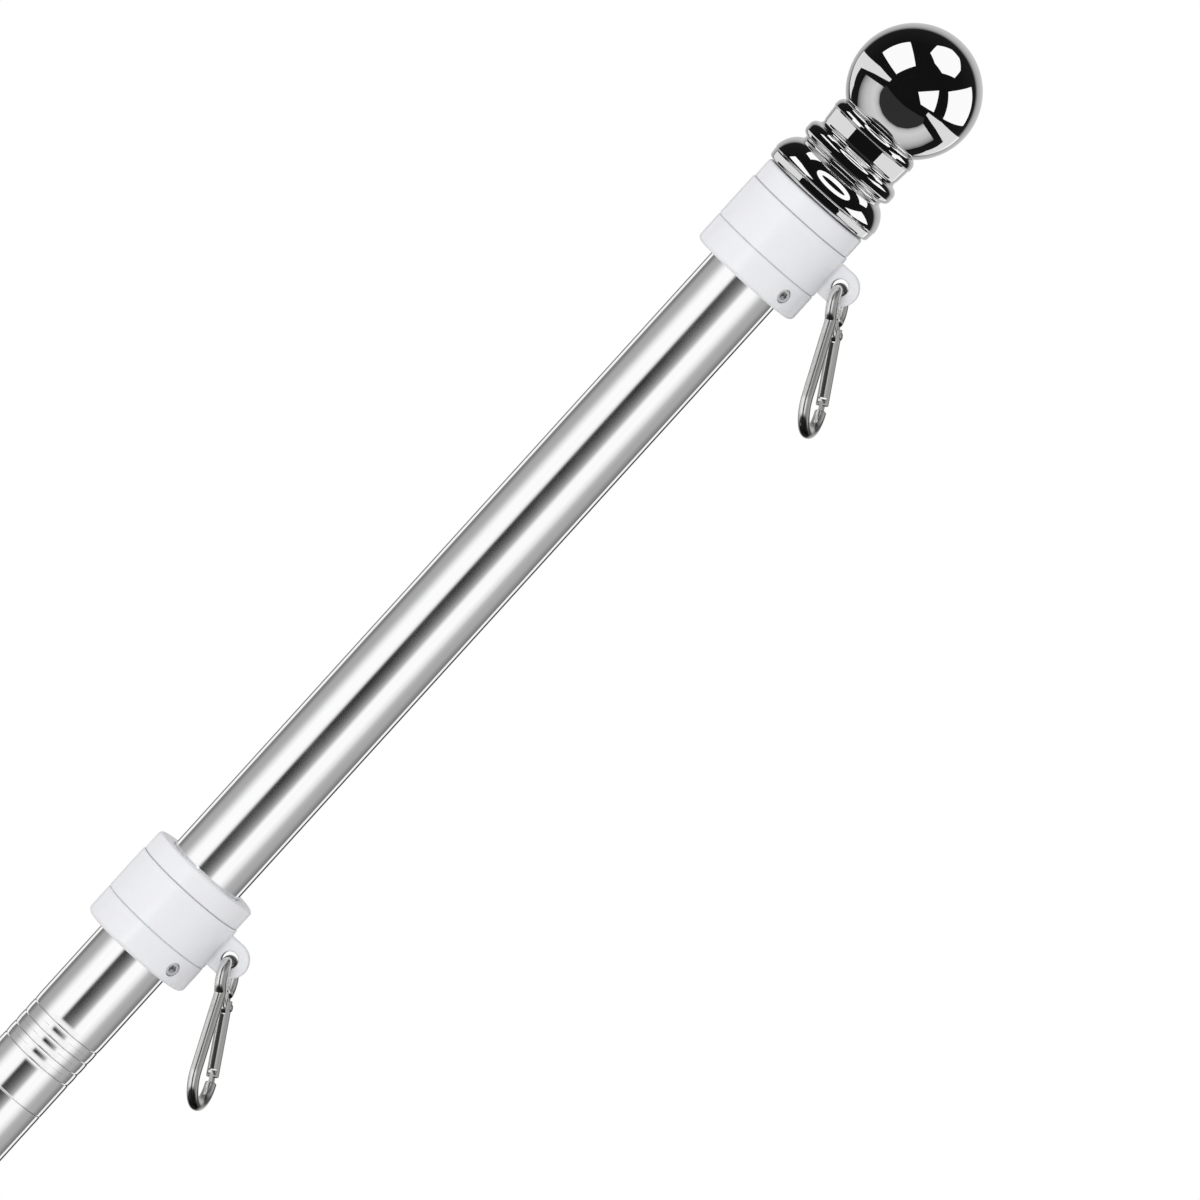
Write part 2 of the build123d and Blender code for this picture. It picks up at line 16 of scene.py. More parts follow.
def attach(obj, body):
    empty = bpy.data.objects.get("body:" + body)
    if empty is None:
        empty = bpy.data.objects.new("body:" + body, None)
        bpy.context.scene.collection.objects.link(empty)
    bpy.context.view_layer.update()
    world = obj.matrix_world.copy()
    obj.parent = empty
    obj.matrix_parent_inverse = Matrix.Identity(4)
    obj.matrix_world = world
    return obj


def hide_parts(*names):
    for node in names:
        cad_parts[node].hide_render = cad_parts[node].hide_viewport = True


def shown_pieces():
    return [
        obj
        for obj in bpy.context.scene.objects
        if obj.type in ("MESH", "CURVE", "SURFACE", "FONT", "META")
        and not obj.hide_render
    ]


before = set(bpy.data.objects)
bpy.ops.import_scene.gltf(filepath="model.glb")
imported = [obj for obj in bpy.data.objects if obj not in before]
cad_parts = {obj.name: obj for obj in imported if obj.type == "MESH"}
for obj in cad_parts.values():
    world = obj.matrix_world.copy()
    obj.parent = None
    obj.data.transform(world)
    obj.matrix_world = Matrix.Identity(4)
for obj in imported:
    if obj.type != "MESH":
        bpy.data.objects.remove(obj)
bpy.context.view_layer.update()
MM = 0.001

# Pole and its push-together tubes
POLE_TILT = radians(47.6)
POLE_RADIUS = 12.7
POLE_WALL = 0.5
SECTION_COUNT = 5
SECTION_LENGTH = 363.0
SECTION_SEAM = 0.3
NECK_LENGTH = 35.0
NECK_RADIUS = 11.7
BEAD_TIP_RADIUS = 12.1
GROOVE_FIRST = 12.7
GROOVE_PITCH = 4.4
GROOVE_DEPTH = 0.3
GROOVE_HALF_WIDTH = 1.4
GROOVE_BROW = 0.9
BEAD_HALF_WIDTH = 0.85
BEAD_ROUNDING = 0.3
SHOULDER_ROUNDING = 0.12
TAPER_LENGTH = 1.6
FOOT_DISTANCE = (7.0 + POLE_RADIUS * sin(POLE_TILT)) / cos(POLE_TILT)
SECTION_PITCH = SECTION_LENGTH + SECTION_SEAM
TOP_SECTION = FOOT_DISTANCE + (SECTION_COUNT - 1) * SECTION_PITCH

# Finial
FINIAL_FOOT = TOP_SECTION + SECTION_LENGTH + SECTION_SEAM
FINIAL_SOCKET = 12.2
BALL_RADIUS = 20.6
BALL_HEIGHT = 43.3
BALL_SEAT_GAP = 0.05
SEAT_EDGE_RADIUS = 13.7
NECK_HEADROOM = 0.7
# Outside of the bell, bead and collar: radius, height and rounding of each corner
FINIAL_OUTLINE = (
    # Lip
    (19.3, 0, 0.9),
    (19.6, 2.9, 0.2),
    (19.45, 3.1, 0.08),
    (19.75, 3.35, 0.15),
    # Bell's shoulder and the hollow over it
    (19.8, 7.9, 4.4),
    (14.9, 10.95, 0.5),
    (15.0, 11.9, 0.5),
    # Bead
    (16.8, 12.4, 1.3),
    (16.8, 17.0, 1.8),
    # Hollow under the collar
    (14.4, 17.6, 0.7),
    (14.1, 18.8, 0.5),
    (14.4, 19.4, 0.3),
    # Collar and its rim
    (14.8, 24.3, 0.2),
    (15.15, 24.55, 0.2),
    (15.0, 26.8, 1.2),
)

# Swivel rings
RING_BORE = 12.9
RING_RADIUS = 18.9
SLEEVE_RADIUS = 15.3
RUNNING_GAP = 0.25
HALF_BAND = 7.65
COLLAR_HEIGHT = 9.8
FLANGE_HEIGHT = 6.9
FLANGE_RADIUS = 18.55
SEAM_DEPTH = 0.5
SEAM_LIP = 0.2
SEAM_ROUNDING = 0.35
COLLAR_ROUNDING = 1.7
LUG_REACH = 23.3
LUG_END_RADIUS = 5.8
LUG_THICKNESS = 4.3
LUG_HOLE_RADIUS = 2.6
LUG_DRILL_FLANK = 5.2
SCREW_TURN = radians(44)
SCREW_RADIUS = 2.4
SCREW_TIP = 12.8
SCREW_HEX_ACROSS = 2.5
SCREW_HEX_DEPTH = 2.2
UPPER_BAND = FINIAL_FOOT - 0.4 - HALF_BAND - RUNNING_GAP - FLANGE_HEIGHT
LOWER_BAND = TOP_SECTION + 74.2

# Snap hooks, in their own plane: x down the hook from the lug's hole, y to the gate
HOOK_LEAN = radians(10.5)
HOOK_YAW = radians(11)
WIRE_RADIUS = 1.8
EYE_CENTRE = Vector((5.9, 0, 0))
EYE_RADIUS = 5.6
KINK_RADIUS = 2.2
KINK_ANGLE = radians(56)
SPINE_ANGLE = radians(22)
SPINE_LENGTH = 24.6
FOOT_RADIUS = 7.8
NOSE_RADIUS = 10.0
NOSE_SWEEP = radians(70)
GATE_OFFSET = 3.3
GATE_RADIUS = 1.95
GATE_GAP = 0.15
GATE_START = 12.4
GATE_END = 36.02
RIVET_AT = 14.5
RIVET_RADIUS = 0.7
RIVET_HEAD = 1.2
TANG_THICKNESS = 1.5
LATCH_FOOT = 34.82
LATCH_HEAD = 2.4
LATCH_NECK = 1.1
LATCH_PLAY = 0.4

# Camera, at the photograph's distance and angle
CAMERA_AZIMUTH = radians(6)
CAMERA_DISTANCE = 6.017
CAMERA_LENS = 600
VIEW_CENTRE_ON_POLE = 1707.3
VIEW_CENTRE_OFF_POLE = 32.9

POLE_DIRECTION = Vector((cos(POLE_TILT), 0, sin(POLE_TILT)))
LUG_DIRECTION = Vector((sin(POLE_TILT), 0, -cos(POLE_TILT)))
TO_CAMERA = Vector((sin(CAMERA_AZIMUTH), -cos(CAMERA_AZIMUTH), 0))


def placed(origin, x, y, z):
    """Matrix from millimetres along three directions to the frame."""
    axes = Matrix((x, y, z)).transposed().to_4x4()
    return Matrix.Translation(origin) @ axes @ Matrix.Scale(MM, 4)


def on_pole(distance):
    """Matrix from millimetres round the pole, at a distance from the wall, to the frame."""
    return placed(POLE_DIRECTION * distance * MM, LUG_DIRECTION, (0, 1, 0), POLE_DIRECTION)


# Node groups and materials


def new_group(name, inputs, outputs):
    """Node group with float or vector inputs, and its in and out nodes."""
    group = bpy.data.node_groups.new(name, "ShaderNodeTree")
    for label, value in inputs:
        vector = isinstance(value, tuple)
        kind = "NodeSocketVector" if vector else "NodeSocketFloat"
        socket = group.interface.new_socket(label, in_out="INPUT", socket_type=kind)
        socket.default_value = value
    for label, kind in outputs:
        group.interface.new_socket(label, in_out="OUTPUT", socket_type=kind)
    return group, group.nodes.new("NodeGroupInput"), group.nodes.new("NodeGroupOutput")


def add_node(tree, kind, **settings):
    """New shader node with some of its settings."""
    node = tree.nodes.new(f"ShaderNode{kind}")
    for label, value in settings.items():
        setattr(node, label, value)
    return node


def fill(node, **values):
    """Gives a node's inputs plain values, by labels with _ for each space."""
    for label, value in values.items():
        node.inputs[label.replace("_", " ")].default_value = value
    return node


def feed(tree, socket, value):
    """Feeds a socket from an output, or gives it a plain number or colour."""
    if isinstance(value, bpy.types.NodeSocket):
        tree.links.new(value, socket)
    elif isinstance(value, tuple):
        socket.default_value = (*value, 1)
    else:
        socket.default_value = value


def math_node(tree, operation, *values, clamp=False):
    """Math node fed by sockets or plain numbers, and its output."""
    node = add_node(tree, "Math", operation=operation, use_clamp=clamp)
    for socket, value in zip(node.inputs, values):
        feed(tree, socket, value)
    return node.outputs[0]


def mix_colours(tree, mask, first, second, blend="MIX"):
    """Colour between two, by a mask, and its output."""
    node = add_node(tree, "Mix", data_type="RGBA", blend_type=blend)
    for socket, value in zip((node.inputs["Factor"], *node.inputs[6:8]), (mask, first, second)):
        feed(tree, socket, value)
    return node.outputs[2]


def ramp_node(tree, value, stops):
    """Greyscale ramp of (position, level) stops over a socket."""
    node = add_node(tree, "ValToRGB")
    tree.links.new(value, node.inputs["Fac"])
    points = node.color_ramp.elements
    while len(points) < len(stops):
        points.new(0.5)
    for point, (position, level) in zip(points, stops):
        point.position = position
        point.color = (level, level, level, 1)
    return node.outputs["Color"]


def make_drawn_grain():
    """Fine lines drawn along or round a piece, from noise stretched in its coordinates."""
    group, given, result = new_group(
        "drawn_grain",
        [("Scale", (1.0, 1.0, 1.0)), ("Turn", (0.0, 0.0, 0.0))],
        [("Lines", "NodeSocketFloat"), ("Cloud", "NodeSocketFloat")],
    )
    coordinates = add_node(group, "TexCoord")
    turned = add_node(group, "Mapping")
    group.links.new(coordinates.outputs["Object"], turned.inputs["Vector"])
    group.links.new(given.outputs["Turn"], turned.inputs["Rotation"])
    stretched = add_node(group, "Mapping")
    group.links.new(turned.outputs[0], stretched.inputs["Vector"])
    group.links.new(given.outputs["Scale"], stretched.inputs["Scale"])
    for label, source, scale, detail in (
        ("Lines", stretched, 1.0, 3.0),
        ("Cloud", turned, 45.0, 4.0),
    ):
        noise = fill(add_node(group, "TexNoise"), Scale=scale, Detail=detail)
        group.links.new(source.outputs[0], noise.inputs["Vector"])
        group.links.new(noise.outputs["Fac"], result.inputs[label])
    return group


MASK_SAMPLES = 6


def make_edge_and_hollow():
    """Masks of the worn edges, and of the hollows that ambient occlusion finds, where shade is
    painted.
    """
    group, given, result = new_group(
        "edge_and_hollow",
        [("Edge Width", 0.0006), ("Hollow Depth", 0.002)],
        [("Edge", "NodeSocketFloat"), ("Hollow", "NodeSocketFloat")],
    )
    bevel = add_node(group, "Bevel", samples=MASK_SAMPLES)
    group.links.new(given.outputs["Edge Width"], bevel.inputs["Radius"])
    geometry = add_node(group, "NewGeometry")
    agreement = add_node(group, "VectorMath", operation="DOT_PRODUCT")
    group.links.new(bevel.outputs["Normal"], agreement.inputs[0])
    group.links.new(geometry.outputs["Normal"], agreement.inputs[1])
    edge = fill(add_node(group, "MapRange"), From_Min=0.998, From_Max=0.9)
    group.links.new(agreement.outputs["Value"], edge.inputs["Value"])
    # Ambient occlusion gives how shaded each hollow is; the materials paint that shade into their
    # colour
    occlusion = add_node(group, "AmbientOcclusion", samples=MASK_SAMPLES)
    group.links.new(given.outputs["Hollow Depth"], occlusion.inputs["Distance"])
    hollow = math_node(group, "SUBTRACT", 1.0, occlusion.outputs["AO"], clamp=True)
    group.links.new(edge.outputs[0], result.inputs["Edge"])
    group.links.new(hollow, result.inputs["Hollow"])
    return group


drawn_grain = make_drawn_grain()
edge_and_hollow = make_edge_and_hollow()
# Turns of the grain's coordinates: their z along the pole, and down a hook
ALONG_POLE = (0.0, POLE_TILT - pi / 2, 0.0)
DOWN_HOOK = (0.0, 0.18, 0.0)


class Finish:
    """A material under construction: its Principled shader and short ways to feed it."""

    def __init__(self, name, colour, metallic, roughness, **extra):
        self.material = bpy.data.materials.new(name)
        self.material.use_nodes = True
        self.tree = self.material.node_tree
        self.shader = self.tree.nodes["Principled BSDF"]
        fill(self.shader, Base_Color=(*colour, 1), Metallic=metallic, Roughness=roughness, **extra)

    def node(self, kind, **values):
        return fill(add_node(self.tree, kind), **values)

    def group(self, tree, **values):
        return fill(add_node(self.tree, "Group", node_tree=tree), **values)

    def link(self, output, target):
        self.tree.links.new(output, target)

    def feed(self, label, output):
        self.link(output, self.shader.inputs[label])

    def between(self, mask, low, high, low_at=0.0, high_at=1.0):
        """A value that goes from low to high as a mask goes from low_at to high_at."""
        made = self.node("MapRange", From_Min=low_at, From_Max=high_at, To_Min=low, To_Max=high)
        self.link(mask, made.inputs["Value"])
        return made.outputs[0]

    def tint(self, mask, first, second):
        """A colour between two, by a mask."""
        return mix_colours(self.tree, mask, first, second)

    def bump(self, height, distance, strength, normal=None):
        """A normal roughened by a height, over another normal if one is given."""
        made = self.node("Bump", Distance=distance, Strength=strength)
        self.link(height, made.inputs["Height"])
        if normal is not None:
            self.link(normal, made.inputs["Normal"])
        return made.outputs[0]


def make_pole_steel():
    """Polished stainless tube: long fine draw lines and faint clouding."""
    finish = Finish("polished_tube", (0.93, 0.93, 0.935), 1.0, 0.1)
    grain = finish.group(drawn_grain, Scale=(2600.0, 2600.0, 18.0), Turn=ALONG_POLE)
    finish.feed("Roughness", finish.between(grain.outputs["Cloud"], 0.06, 0.1, 0.35, 0.65))
    lined = finish.tint(grain.outputs["Lines"], (0.9, 0.9, 0.905), (0.98, 0.98, 0.98))
    finish.feed("Base Color", lined)
    return finish.material


def make_chrome():
    """Mirror plating with the faintest clouding and hairlines."""
    finish = Finish("mirror_chrome", (0.95, 0.95, 0.95), 1.0, 0.015)
    grain = finish.group(drawn_grain, Scale=(40.0, 40.0, 900.0), Turn=ALONG_POLE)
    finish.feed("Roughness", finish.between(grain.outputs["Cloud"], 0.01, 0.035, 0.4, 0.7))
    lined = finish.tint(grain.outputs["Lines"], (0.93, 0.93, 0.93), (0.97, 0.97, 0.97))
    finish.feed("Base Color", lined)
    return finish.material


def make_ring_plastic():
    """Satin white nylon with a fine moulded skin, and painted shade in its seams and hollows."""
    under_skin = {"Subsurface_Weight": 0.06, "Subsurface_Scale": 0.002}
    finish = Finish("white_nylon", (0.82, 0.825, 0.85), 0.0, 0.32, IOR=1.5, **under_skin)
    masks = finish.group(edge_and_hollow, Edge_Width=0.0005, Hollow_Depth=0.004)
    grain = finish.group(drawn_grain, Scale=(2200.0, 2200.0, 2200.0))
    plain = finish.tint(grain.outputs["Cloud"], (0.81, 0.815, 0.84), (0.83, 0.835, 0.86))
    # Painted shade: the nylon turns grey where ambient occlusion finds seams and hollows
    painted_shade = finish.between(masks.outputs["Hollow"], 0.0, 0.6, 0.5, 1.0)
    finish.feed("Base Color", finish.tint(painted_shade, plain, (0.5, 0.5, 0.515)))
    finish.feed("Roughness", finish.between(grain.outputs["Cloud"], 0.28, 0.38, 0.35, 0.65))
    finish.feed("Normal", finish.bump(grain.outputs["Lines"], 0.00002, 0.2))
    return finish.material


def make_hook_steel():
    """Nickel-plated hook: polished, with lengthwise rub lines, and painted shade in its hollows.
    """
    finish = Finish("plated_hook", (0.86, 0.85, 0.83), 1.0, 0.12)
    masks = finish.group(edge_and_hollow, Edge_Width=0.0003, Hollow_Depth=0.0016)
    grain = finish.group(drawn_grain, Scale=(1800.0, 1800.0, 160.0), Turn=DOWN_HOOK)
    bright = finish.tint(grain.outputs["Cloud"], (0.8, 0.795, 0.78), (0.92, 0.915, 0.9))
    # Painted shade: near-black where ambient occlusion finds the hook's hollows
    painted_shade = finish.between(masks.outputs["Hollow"], 0.0, 0.8, 0.35, 0.95)
    finish.feed("Base Color", finish.tint(painted_shade, bright, (0.13, 0.125, 0.12)))
    finish.feed("Roughness", finish.between(grain.outputs["Lines"], 0.07, 0.17, 0.3, 0.7))
    return finish.material


def make_screw_steel():
    """Zinc-plated grub screws, with painted shade in their hexagon sockets."""
    finish = Finish("plated_screw", (0.85, 0.85, 0.86), 1.0, 0.4)
    masks = finish.group(edge_and_hollow, Edge_Width=0.0003, Hollow_Depth=0.0015)
    grain = finish.group(drawn_grain, Scale=(1500.0, 1500.0, 1500.0))
    plain = finish.tint(grain.outputs["Cloud"], (0.82, 0.82, 0.83), (0.92, 0.92, 0.93))
    # Painted shade: almost black where ambient occlusion finds the hexagon socket
    painted_shade = finish.between(masks.outputs["Hollow"], 0.0, 0.9, 0.3, 0.75)
    finish.feed("Base Color", finish.tint(painted_shade, plain, (0.07, 0.07, 0.07)))
    finish.feed("Roughness", finish.between(grain.outputs["Lines"], 0.2, 0.36, 0.3, 0.7))
    return finish.material


def make_cast_aluminium():
    """Tumbled casting: swirled fine scratches, bright worn edges and painted shade in its hollows.
    """
    finish = Finish("tumbled_casting", (0.78, 0.78, 0.79), 1.0, 0.42)
    masks = finish.group(edge_and_hollow, Edge_Width=0.0011, Hollow_Depth=0.012)
    coordinates = finish.node("TexCoord")
    swirl = finish.node("TexNoise", Scale=240.0, Detail=4.0, Distortion=0.5)
    scratches = finish.node("TexNoise", Scale=1400.0, Detail=4.0, Distortion=2.5)
    pits = finish.node("TexVoronoi", Scale=420.0)
    for pattern in (swirl, scratches, pits):
        finish.link(coordinates.outputs["Object"], pattern.inputs["Vector"])
    pit = finish.between(pits.outputs["Distance"], 1.0, 0.0, 0.05, 0.22)
    clouded = finish.tint(swirl.outputs["Fac"], (0.7, 0.7, 0.71), (0.86, 0.86, 0.87))
    worn = finish.tint(masks.outputs["Edge"], clouded, (0.94, 0.94, 0.94))
    # Painted shade: grey where ambient occlusion finds the casting's hollows
    painted_shade = finish.between(masks.outputs["Hollow"], 0.0, 0.7, 0.35, 1.0)
    finish.feed("Base Color", finish.tint(painted_shade, worn, (0.3, 0.3, 0.305)))
    finish.feed("Roughness", finish.between(swirl.outputs["Fac"], 0.38, 0.48, 0.3, 0.7))
    skin = finish.bump(scratches.outputs["Fac"], 0.00016, 0.5)
    finish.feed("Normal", finish.bump(pit, 0.0001, 0.25, normal=skin))
    return finish.material


def make_painted_bore_shade():
    """The same nylon made dark grey, as painted shade, in the lug's hole."""
    finish = Finish("rubbed_nylon", (0.26, 0.26, 0.27), 0.0, 0.36, IOR=1.5)
    grain = finish.group(drawn_grain, Scale=(900.0, 900.0, 900.0))
    # Painted shade, streaked by the grain's lines
    streaked_shade = finish.tint(grain.outputs["Lines"], (0.18, 0.18, 0.19), (0.36, 0.36, 0.37))
    finish.feed("Base Color", streaked_shade)
    return finish.material


# The finish in each slot, and a dark nylon of painted shade that only the lugs' holes get
FINISHES = {
    "pole_steel": make_pole_steel(),
    "chrome": make_chrome(),
    "ring_plastic": make_ring_plastic(),
    "hook_steel": make_hook_steel(),
    "screw_steel": make_screw_steel(),
    "cast_aluminium": make_cast_aluminium(),
}
painted_bore_shade = make_painted_bore_shade()


# Modelling


WELD = 1e-4
HOLD_WIDTH = 0.2
SHARP_ANGLE = radians(32)
ROUND_STEPS = 160
TUBE_STEPS = 128
SMALL_STEPS = 64
DOME_STEPS = 5
DOME_SWEEP = radians(82)


def of_kind(kind, parts):
    """Those of a mixed list of mesh parts that are vertices, or edges."""
    return [part for part in parts if isinstance(part, kind)]


def round_over(bm, geom, width, segments, affect="EDGES"):
    """Rounds edges, or corners of an outline, over."""
    bmesh.ops.bevel(
        bm,
        geom=geom,
        offset=width,
        offset_type="OFFSET",
        segments=segments,
        profile=0.5,
        affect=affect,
        clamp_overlap=affect == "EDGES",
        material=-1,
    )


def spin(bm, geom, centre, axis, angle, steps, merge=False):
    """Spins geometry round an axis, and gives its last copy."""
    spun = bmesh.ops.spin(
        bm,
        geom=geom,
        cent=centre,
        axis=axis,
        dvec=(0, 0, 0),
        angle=angle,
        steps=steps,
        use_merge=merge,
        use_normal_flip=False,
        use_duplicate=False,
    )
    return spun["geom_last"]


def full_turn(bm, steps):
    """Spins an outline round the local z axis into a closed skin."""
    spin(bm, bm.verts[:] + bm.edges[:], (0, 0, 0), (0, 0, 1), tau, steps, merge=True)
    bmesh.ops.remove_doubles(bm, verts=bm.verts[:], dist=WELD)
    bmesh.ops.recalc_face_normals(bm, faces=bm.faces[:])
    return bm


def hold_ends(bm, width):
    """Adds a point by both ends of each long edge, so that the face between shades evenly."""
    for edge in bm.edges[:]:
        if edge.calc_length() < 4 * width:
            continue
        first, second = edge.verts[:]
        near = bmesh.utils.edge_split(edge, first, width / edge.calc_length())[1]
        rest = [other for other in near.link_edges if second in other.verts][0]
        bmesh.utils.edge_split(rest, second, width / rest.calc_length())


def turned(outline, steps):
    """Closed outline of (radius, height, rounding) corners, spun round the local z axis."""
    bm = bmesh.new()
    corners = [bm.verts.new((radius, 0, height)) for radius, height, _ in outline]
    for first, second in zip(corners, corners[1:] + corners[:1]):
        bm.edges.new((first, second))
    roundings = sorted({rounding for _, _, rounding in outline if rounding})
    for rounding in roundings:
        chosen = [
            corner
            for corner, (_, _, wanted) in zip(corners, outline)
            if corner.is_valid and wanted == rounding
        ]
        segments = max(3, min(28, int(rounding * 7)))
        round_over(bm, chosen, rounding, segments, "VERTICES")
    hold_ends(bm, HOLD_WIDTH)
    return full_turn(bm, steps)


def new_object(name, data):
    """Object in the scene for a mesh, lamp or camera."""
    made = bpy.data.objects.new(name, data)
    bpy.context.scene.collection.objects.link(made)
    return made


def mesh_object(name, bm, material=None):
    """Object of a finished bmesh, which it uses up."""
    mesh = bpy.data.meshes.new(name)
    bm.to_mesh(mesh)
    bm.free()
    if material:
        mesh.materials.append(material)
    return new_object(name, mesh)


def piece(bm, name, place, body, slot, stands_for):
    """Puts a finished mesh in place, gives it its finish and lets it ride on its body."""
    bmesh.ops.transform(bm, matrix=place, verts=bm.verts[:])
    made = mesh_object(name, bm, FINISHES[slot])
    made.data.polygons.foreach_set("use_smooth", [True] * len(made.data.polygons))
    made.data.set_sharp_from_angle(angle=SHARP_ANGLE)
    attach(made, body)
    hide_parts(stands_for)
    return made


def pole_tube(number):
    """One tube with its rolled grooves, rounded shoulder and beaded neck."""
    bore = POLE_RADIUS - POLE_WALL
    shoulder = SECTION_LENGTH + SHOULDER_ROUNDING
    neck_end = SECTION_LENGTH + NECK_LENGTH
    outline = [(bore, 0, 0), (POLE_RADIUS, 0, 0.1)]
    if number > 1:
        for groove in range(4):
            middle = GROOVE_FIRST + groove * GROOVE_PITCH
            outline += [
                (POLE_RADIUS, middle - GROOVE_HALF_WIDTH, GROOVE_BROW),
                (POLE_RADIUS - 0.1, middle - 0.2, 0.05),
                (POLE_RADIUS - GROOVE_DEPTH, middle, 0.05),
                (POLE_RADIUS - 0.1, middle + 0.2, 0.05),
                (POLE_RADIUS, middle + GROOVE_HALF_WIDTH, GROOVE_BROW),
            ]
    outline += [(POLE_RADIUS, shoulder, SHOULDER_ROUNDING), (NECK_RADIUS, shoulder, 0)]
    for bead in range(3):
        middle = SECTION_LENGTH + GROOVE_FIRST + (2 * bead - 0.5) * GROOVE_PITCH
        outline += [
            (NECK_RADIUS, middle - BEAD_HALF_WIDTH, BEAD_ROUNDING),
            (BEAD_TIP_RADIUS, middle, BEAD_ROUNDING),
            (NECK_RADIUS, middle + BEAD_HALF_WIDTH, BEAD_ROUNDING),
        ]
    outline += [
        (NECK_RADIUS, neck_end, 0.2),
        (NECK_RADIUS - POLE_WALL, neck_end, 0),
        (NECK_RADIUS - POLE_WALL, SECTION_LENGTH, 0),
        (bore, SECTION_LENGTH - TAPER_LENGTH - POLE_WALL, 0),
    ]
    place = on_pole(FOOT_DISTANCE + (number - 1) * SECTION_PITCH)
    tube = turned(outline, TUBE_STEPS)
    piece(tube, f"tube_{number}", place, "pole", "pole_steel", f"pole_section_{number}")


for number in range(1, SECTION_COUNT + 1):
    pole_tube(number)


def finial():
    """Chrome bell, bead and collar, and the ball that is seated in the collar."""
    seat_radius = BALL_RADIUS + BALL_SEAT_GAP
    seat_foot = BALL_HEIGHT - sqrt(seat_radius**2 - FINIAL_SOCKET**2)
    seat_edge = BALL_HEIGHT - sqrt(seat_radius**2 - SEAT_EDGE_RADIUS**2)
    outline = [(FINIAL_SOCKET, seat_foot, 0), (FINIAL_SOCKET, 0, 0), *FINIAL_OUTLINE]
    outline.append((SEAT_EDGE_RADIUS, seat_edge - BALL_SEAT_GAP, 0.2))
    place = on_pole(FINIAL_FOOT)
    piece(turned(outline, ROUND_STEPS), "finial_bell", place, "pole", "chrome", "finial_base")

    ball = bmesh.new()
    top = ball.verts.new((0, 0, BALL_HEIGHT + BALL_RADIUS))
    sweep = pi - asin(FINIAL_SOCKET / BALL_RADIUS)
    arc_end = spin(ball, [top], (0, 0, BALL_HEIGHT), (0, 1, 0), sweep, 72)
    foot = of_kind(BMVert, arc_end)[0]
    corner = ball.verts.new((FINIAL_SOCKET, 0, NECK_LENGTH + NECK_HEADROOM))
    middle = ball.verts.new((0, 0, NECK_LENGTH + NECK_HEADROOM))
    ball.edges.new((foot, corner))
    ball.edges.new((corner, middle))
    full_turn(ball, ROUND_STEPS)
    piece(ball, "finial_globe", place, "pole", "chrome", "finial_ball")


finial()


def cut_or_join(base, tool, operation, name):
    """Exact Boolean of two meshes, as a new bmesh."""
    objects = [mesh_object(f"{name}_base", base), mesh_object(f"{name}_tool", tool)]
    modifier = objects[0].modifiers.new("cut", "BOOLEAN")
    modifier.operation = operation
    modifier.solver = "EXACT"
    modifier.object = objects[1]
    depsgraph = bpy.context.evaluated_depsgraph_get()
    result = bmesh.new()
    result.from_object(objects[0], depsgraph)
    for made in objects:
        mesh = made.data
        bpy.data.objects.remove(made)
        bpy.data.meshes.remove(mesh)
    bmesh.ops.remove_doubles(result, verts=result.verts[:], dist=WELD)
    return result


def soften(bm, width, sharper_than):
    """Rounds every edge that is sharper than an angle."""
    edges = [
        edge
        for edge in bm.edges
        if len(edge.link_faces) == 2 and edge.calc_face_angle() > sharper_than
    ]
    round_over(bm, edges, width, 3)


def rod(radius, length, place, segments=48):
    """Solid round bar from a place's origin along its z."""
    bm = bmesh.new()
    bmesh.ops.create_cone(
        bm,
        cap_ends=True,
        segments=segments,
        radius1=radius,
        radius2=radius,
        depth=length,
        matrix=place @ Matrix.Translation((0, 0, length / 2)),
    )
    return bm


def tongue(start, centre, axis, steps, root, thickness, edge_width, from_x):
    """Plate with a half-round end and a square root, its rims rounded beyond a place along x."""
    bm = bmesh.new()
    first = bm.verts.new(start)
    spin(bm, [first], centre, axis, pi, steps)
    across = (Vector(centre) - first.co).normalized()
    rim = sorted(bm.verts, key=lambda v: v.co.dot(across))
    face = bm.faces.new(rim + [bm.verts.new(corner) for corner in root])
    raised = bmesh.ops.extrude_face_region(bm, geom=[face])
    thickness = Vector(thickness)
    bmesh.ops.translate(bm, vec=thickness, verts=of_kind(BMVert, raised["geom"]))
    bmesh.ops.recalc_face_normals(bm, faces=bm.faces[:])
    rims = [
        edge
        for edge in bm.edges
        if abs((edge.verts[0].co - edge.verts[1].co).dot(thickness)) < 1e-6
        and min(v.co.x for v in edge.verts) > from_x
    ]
    round_over(bm, rims, edge_width, 3)
    return bm


def grub_screw(name, place, body, ring):
    """Socket screw along its place's z, with a worn rim round its hexagon."""
    radius = SCREW_RADIUS - 0.04
    end = RING_RADIUS - 0.45
    outline = [(0, SCREW_TIP, 0), (radius, SCREW_TIP, 0.2), (radius, end, 0.35), (0, end, 0)]
    screw = turned(outline, SMALL_STEPS)
    socket_foot = Matrix.Translation((0, 0, end - SCREW_HEX_DEPTH))
    socket = rod(SCREW_HEX_ACROSS / sqrt(3), 2 * SCREW_HEX_DEPTH, socket_foot, 6)
    screw = cut_or_join(screw, socket, "DIFFERENCE", "screw")
    piece(screw, name, place, body, "screw_steel", f"{ring}_ring_screw")


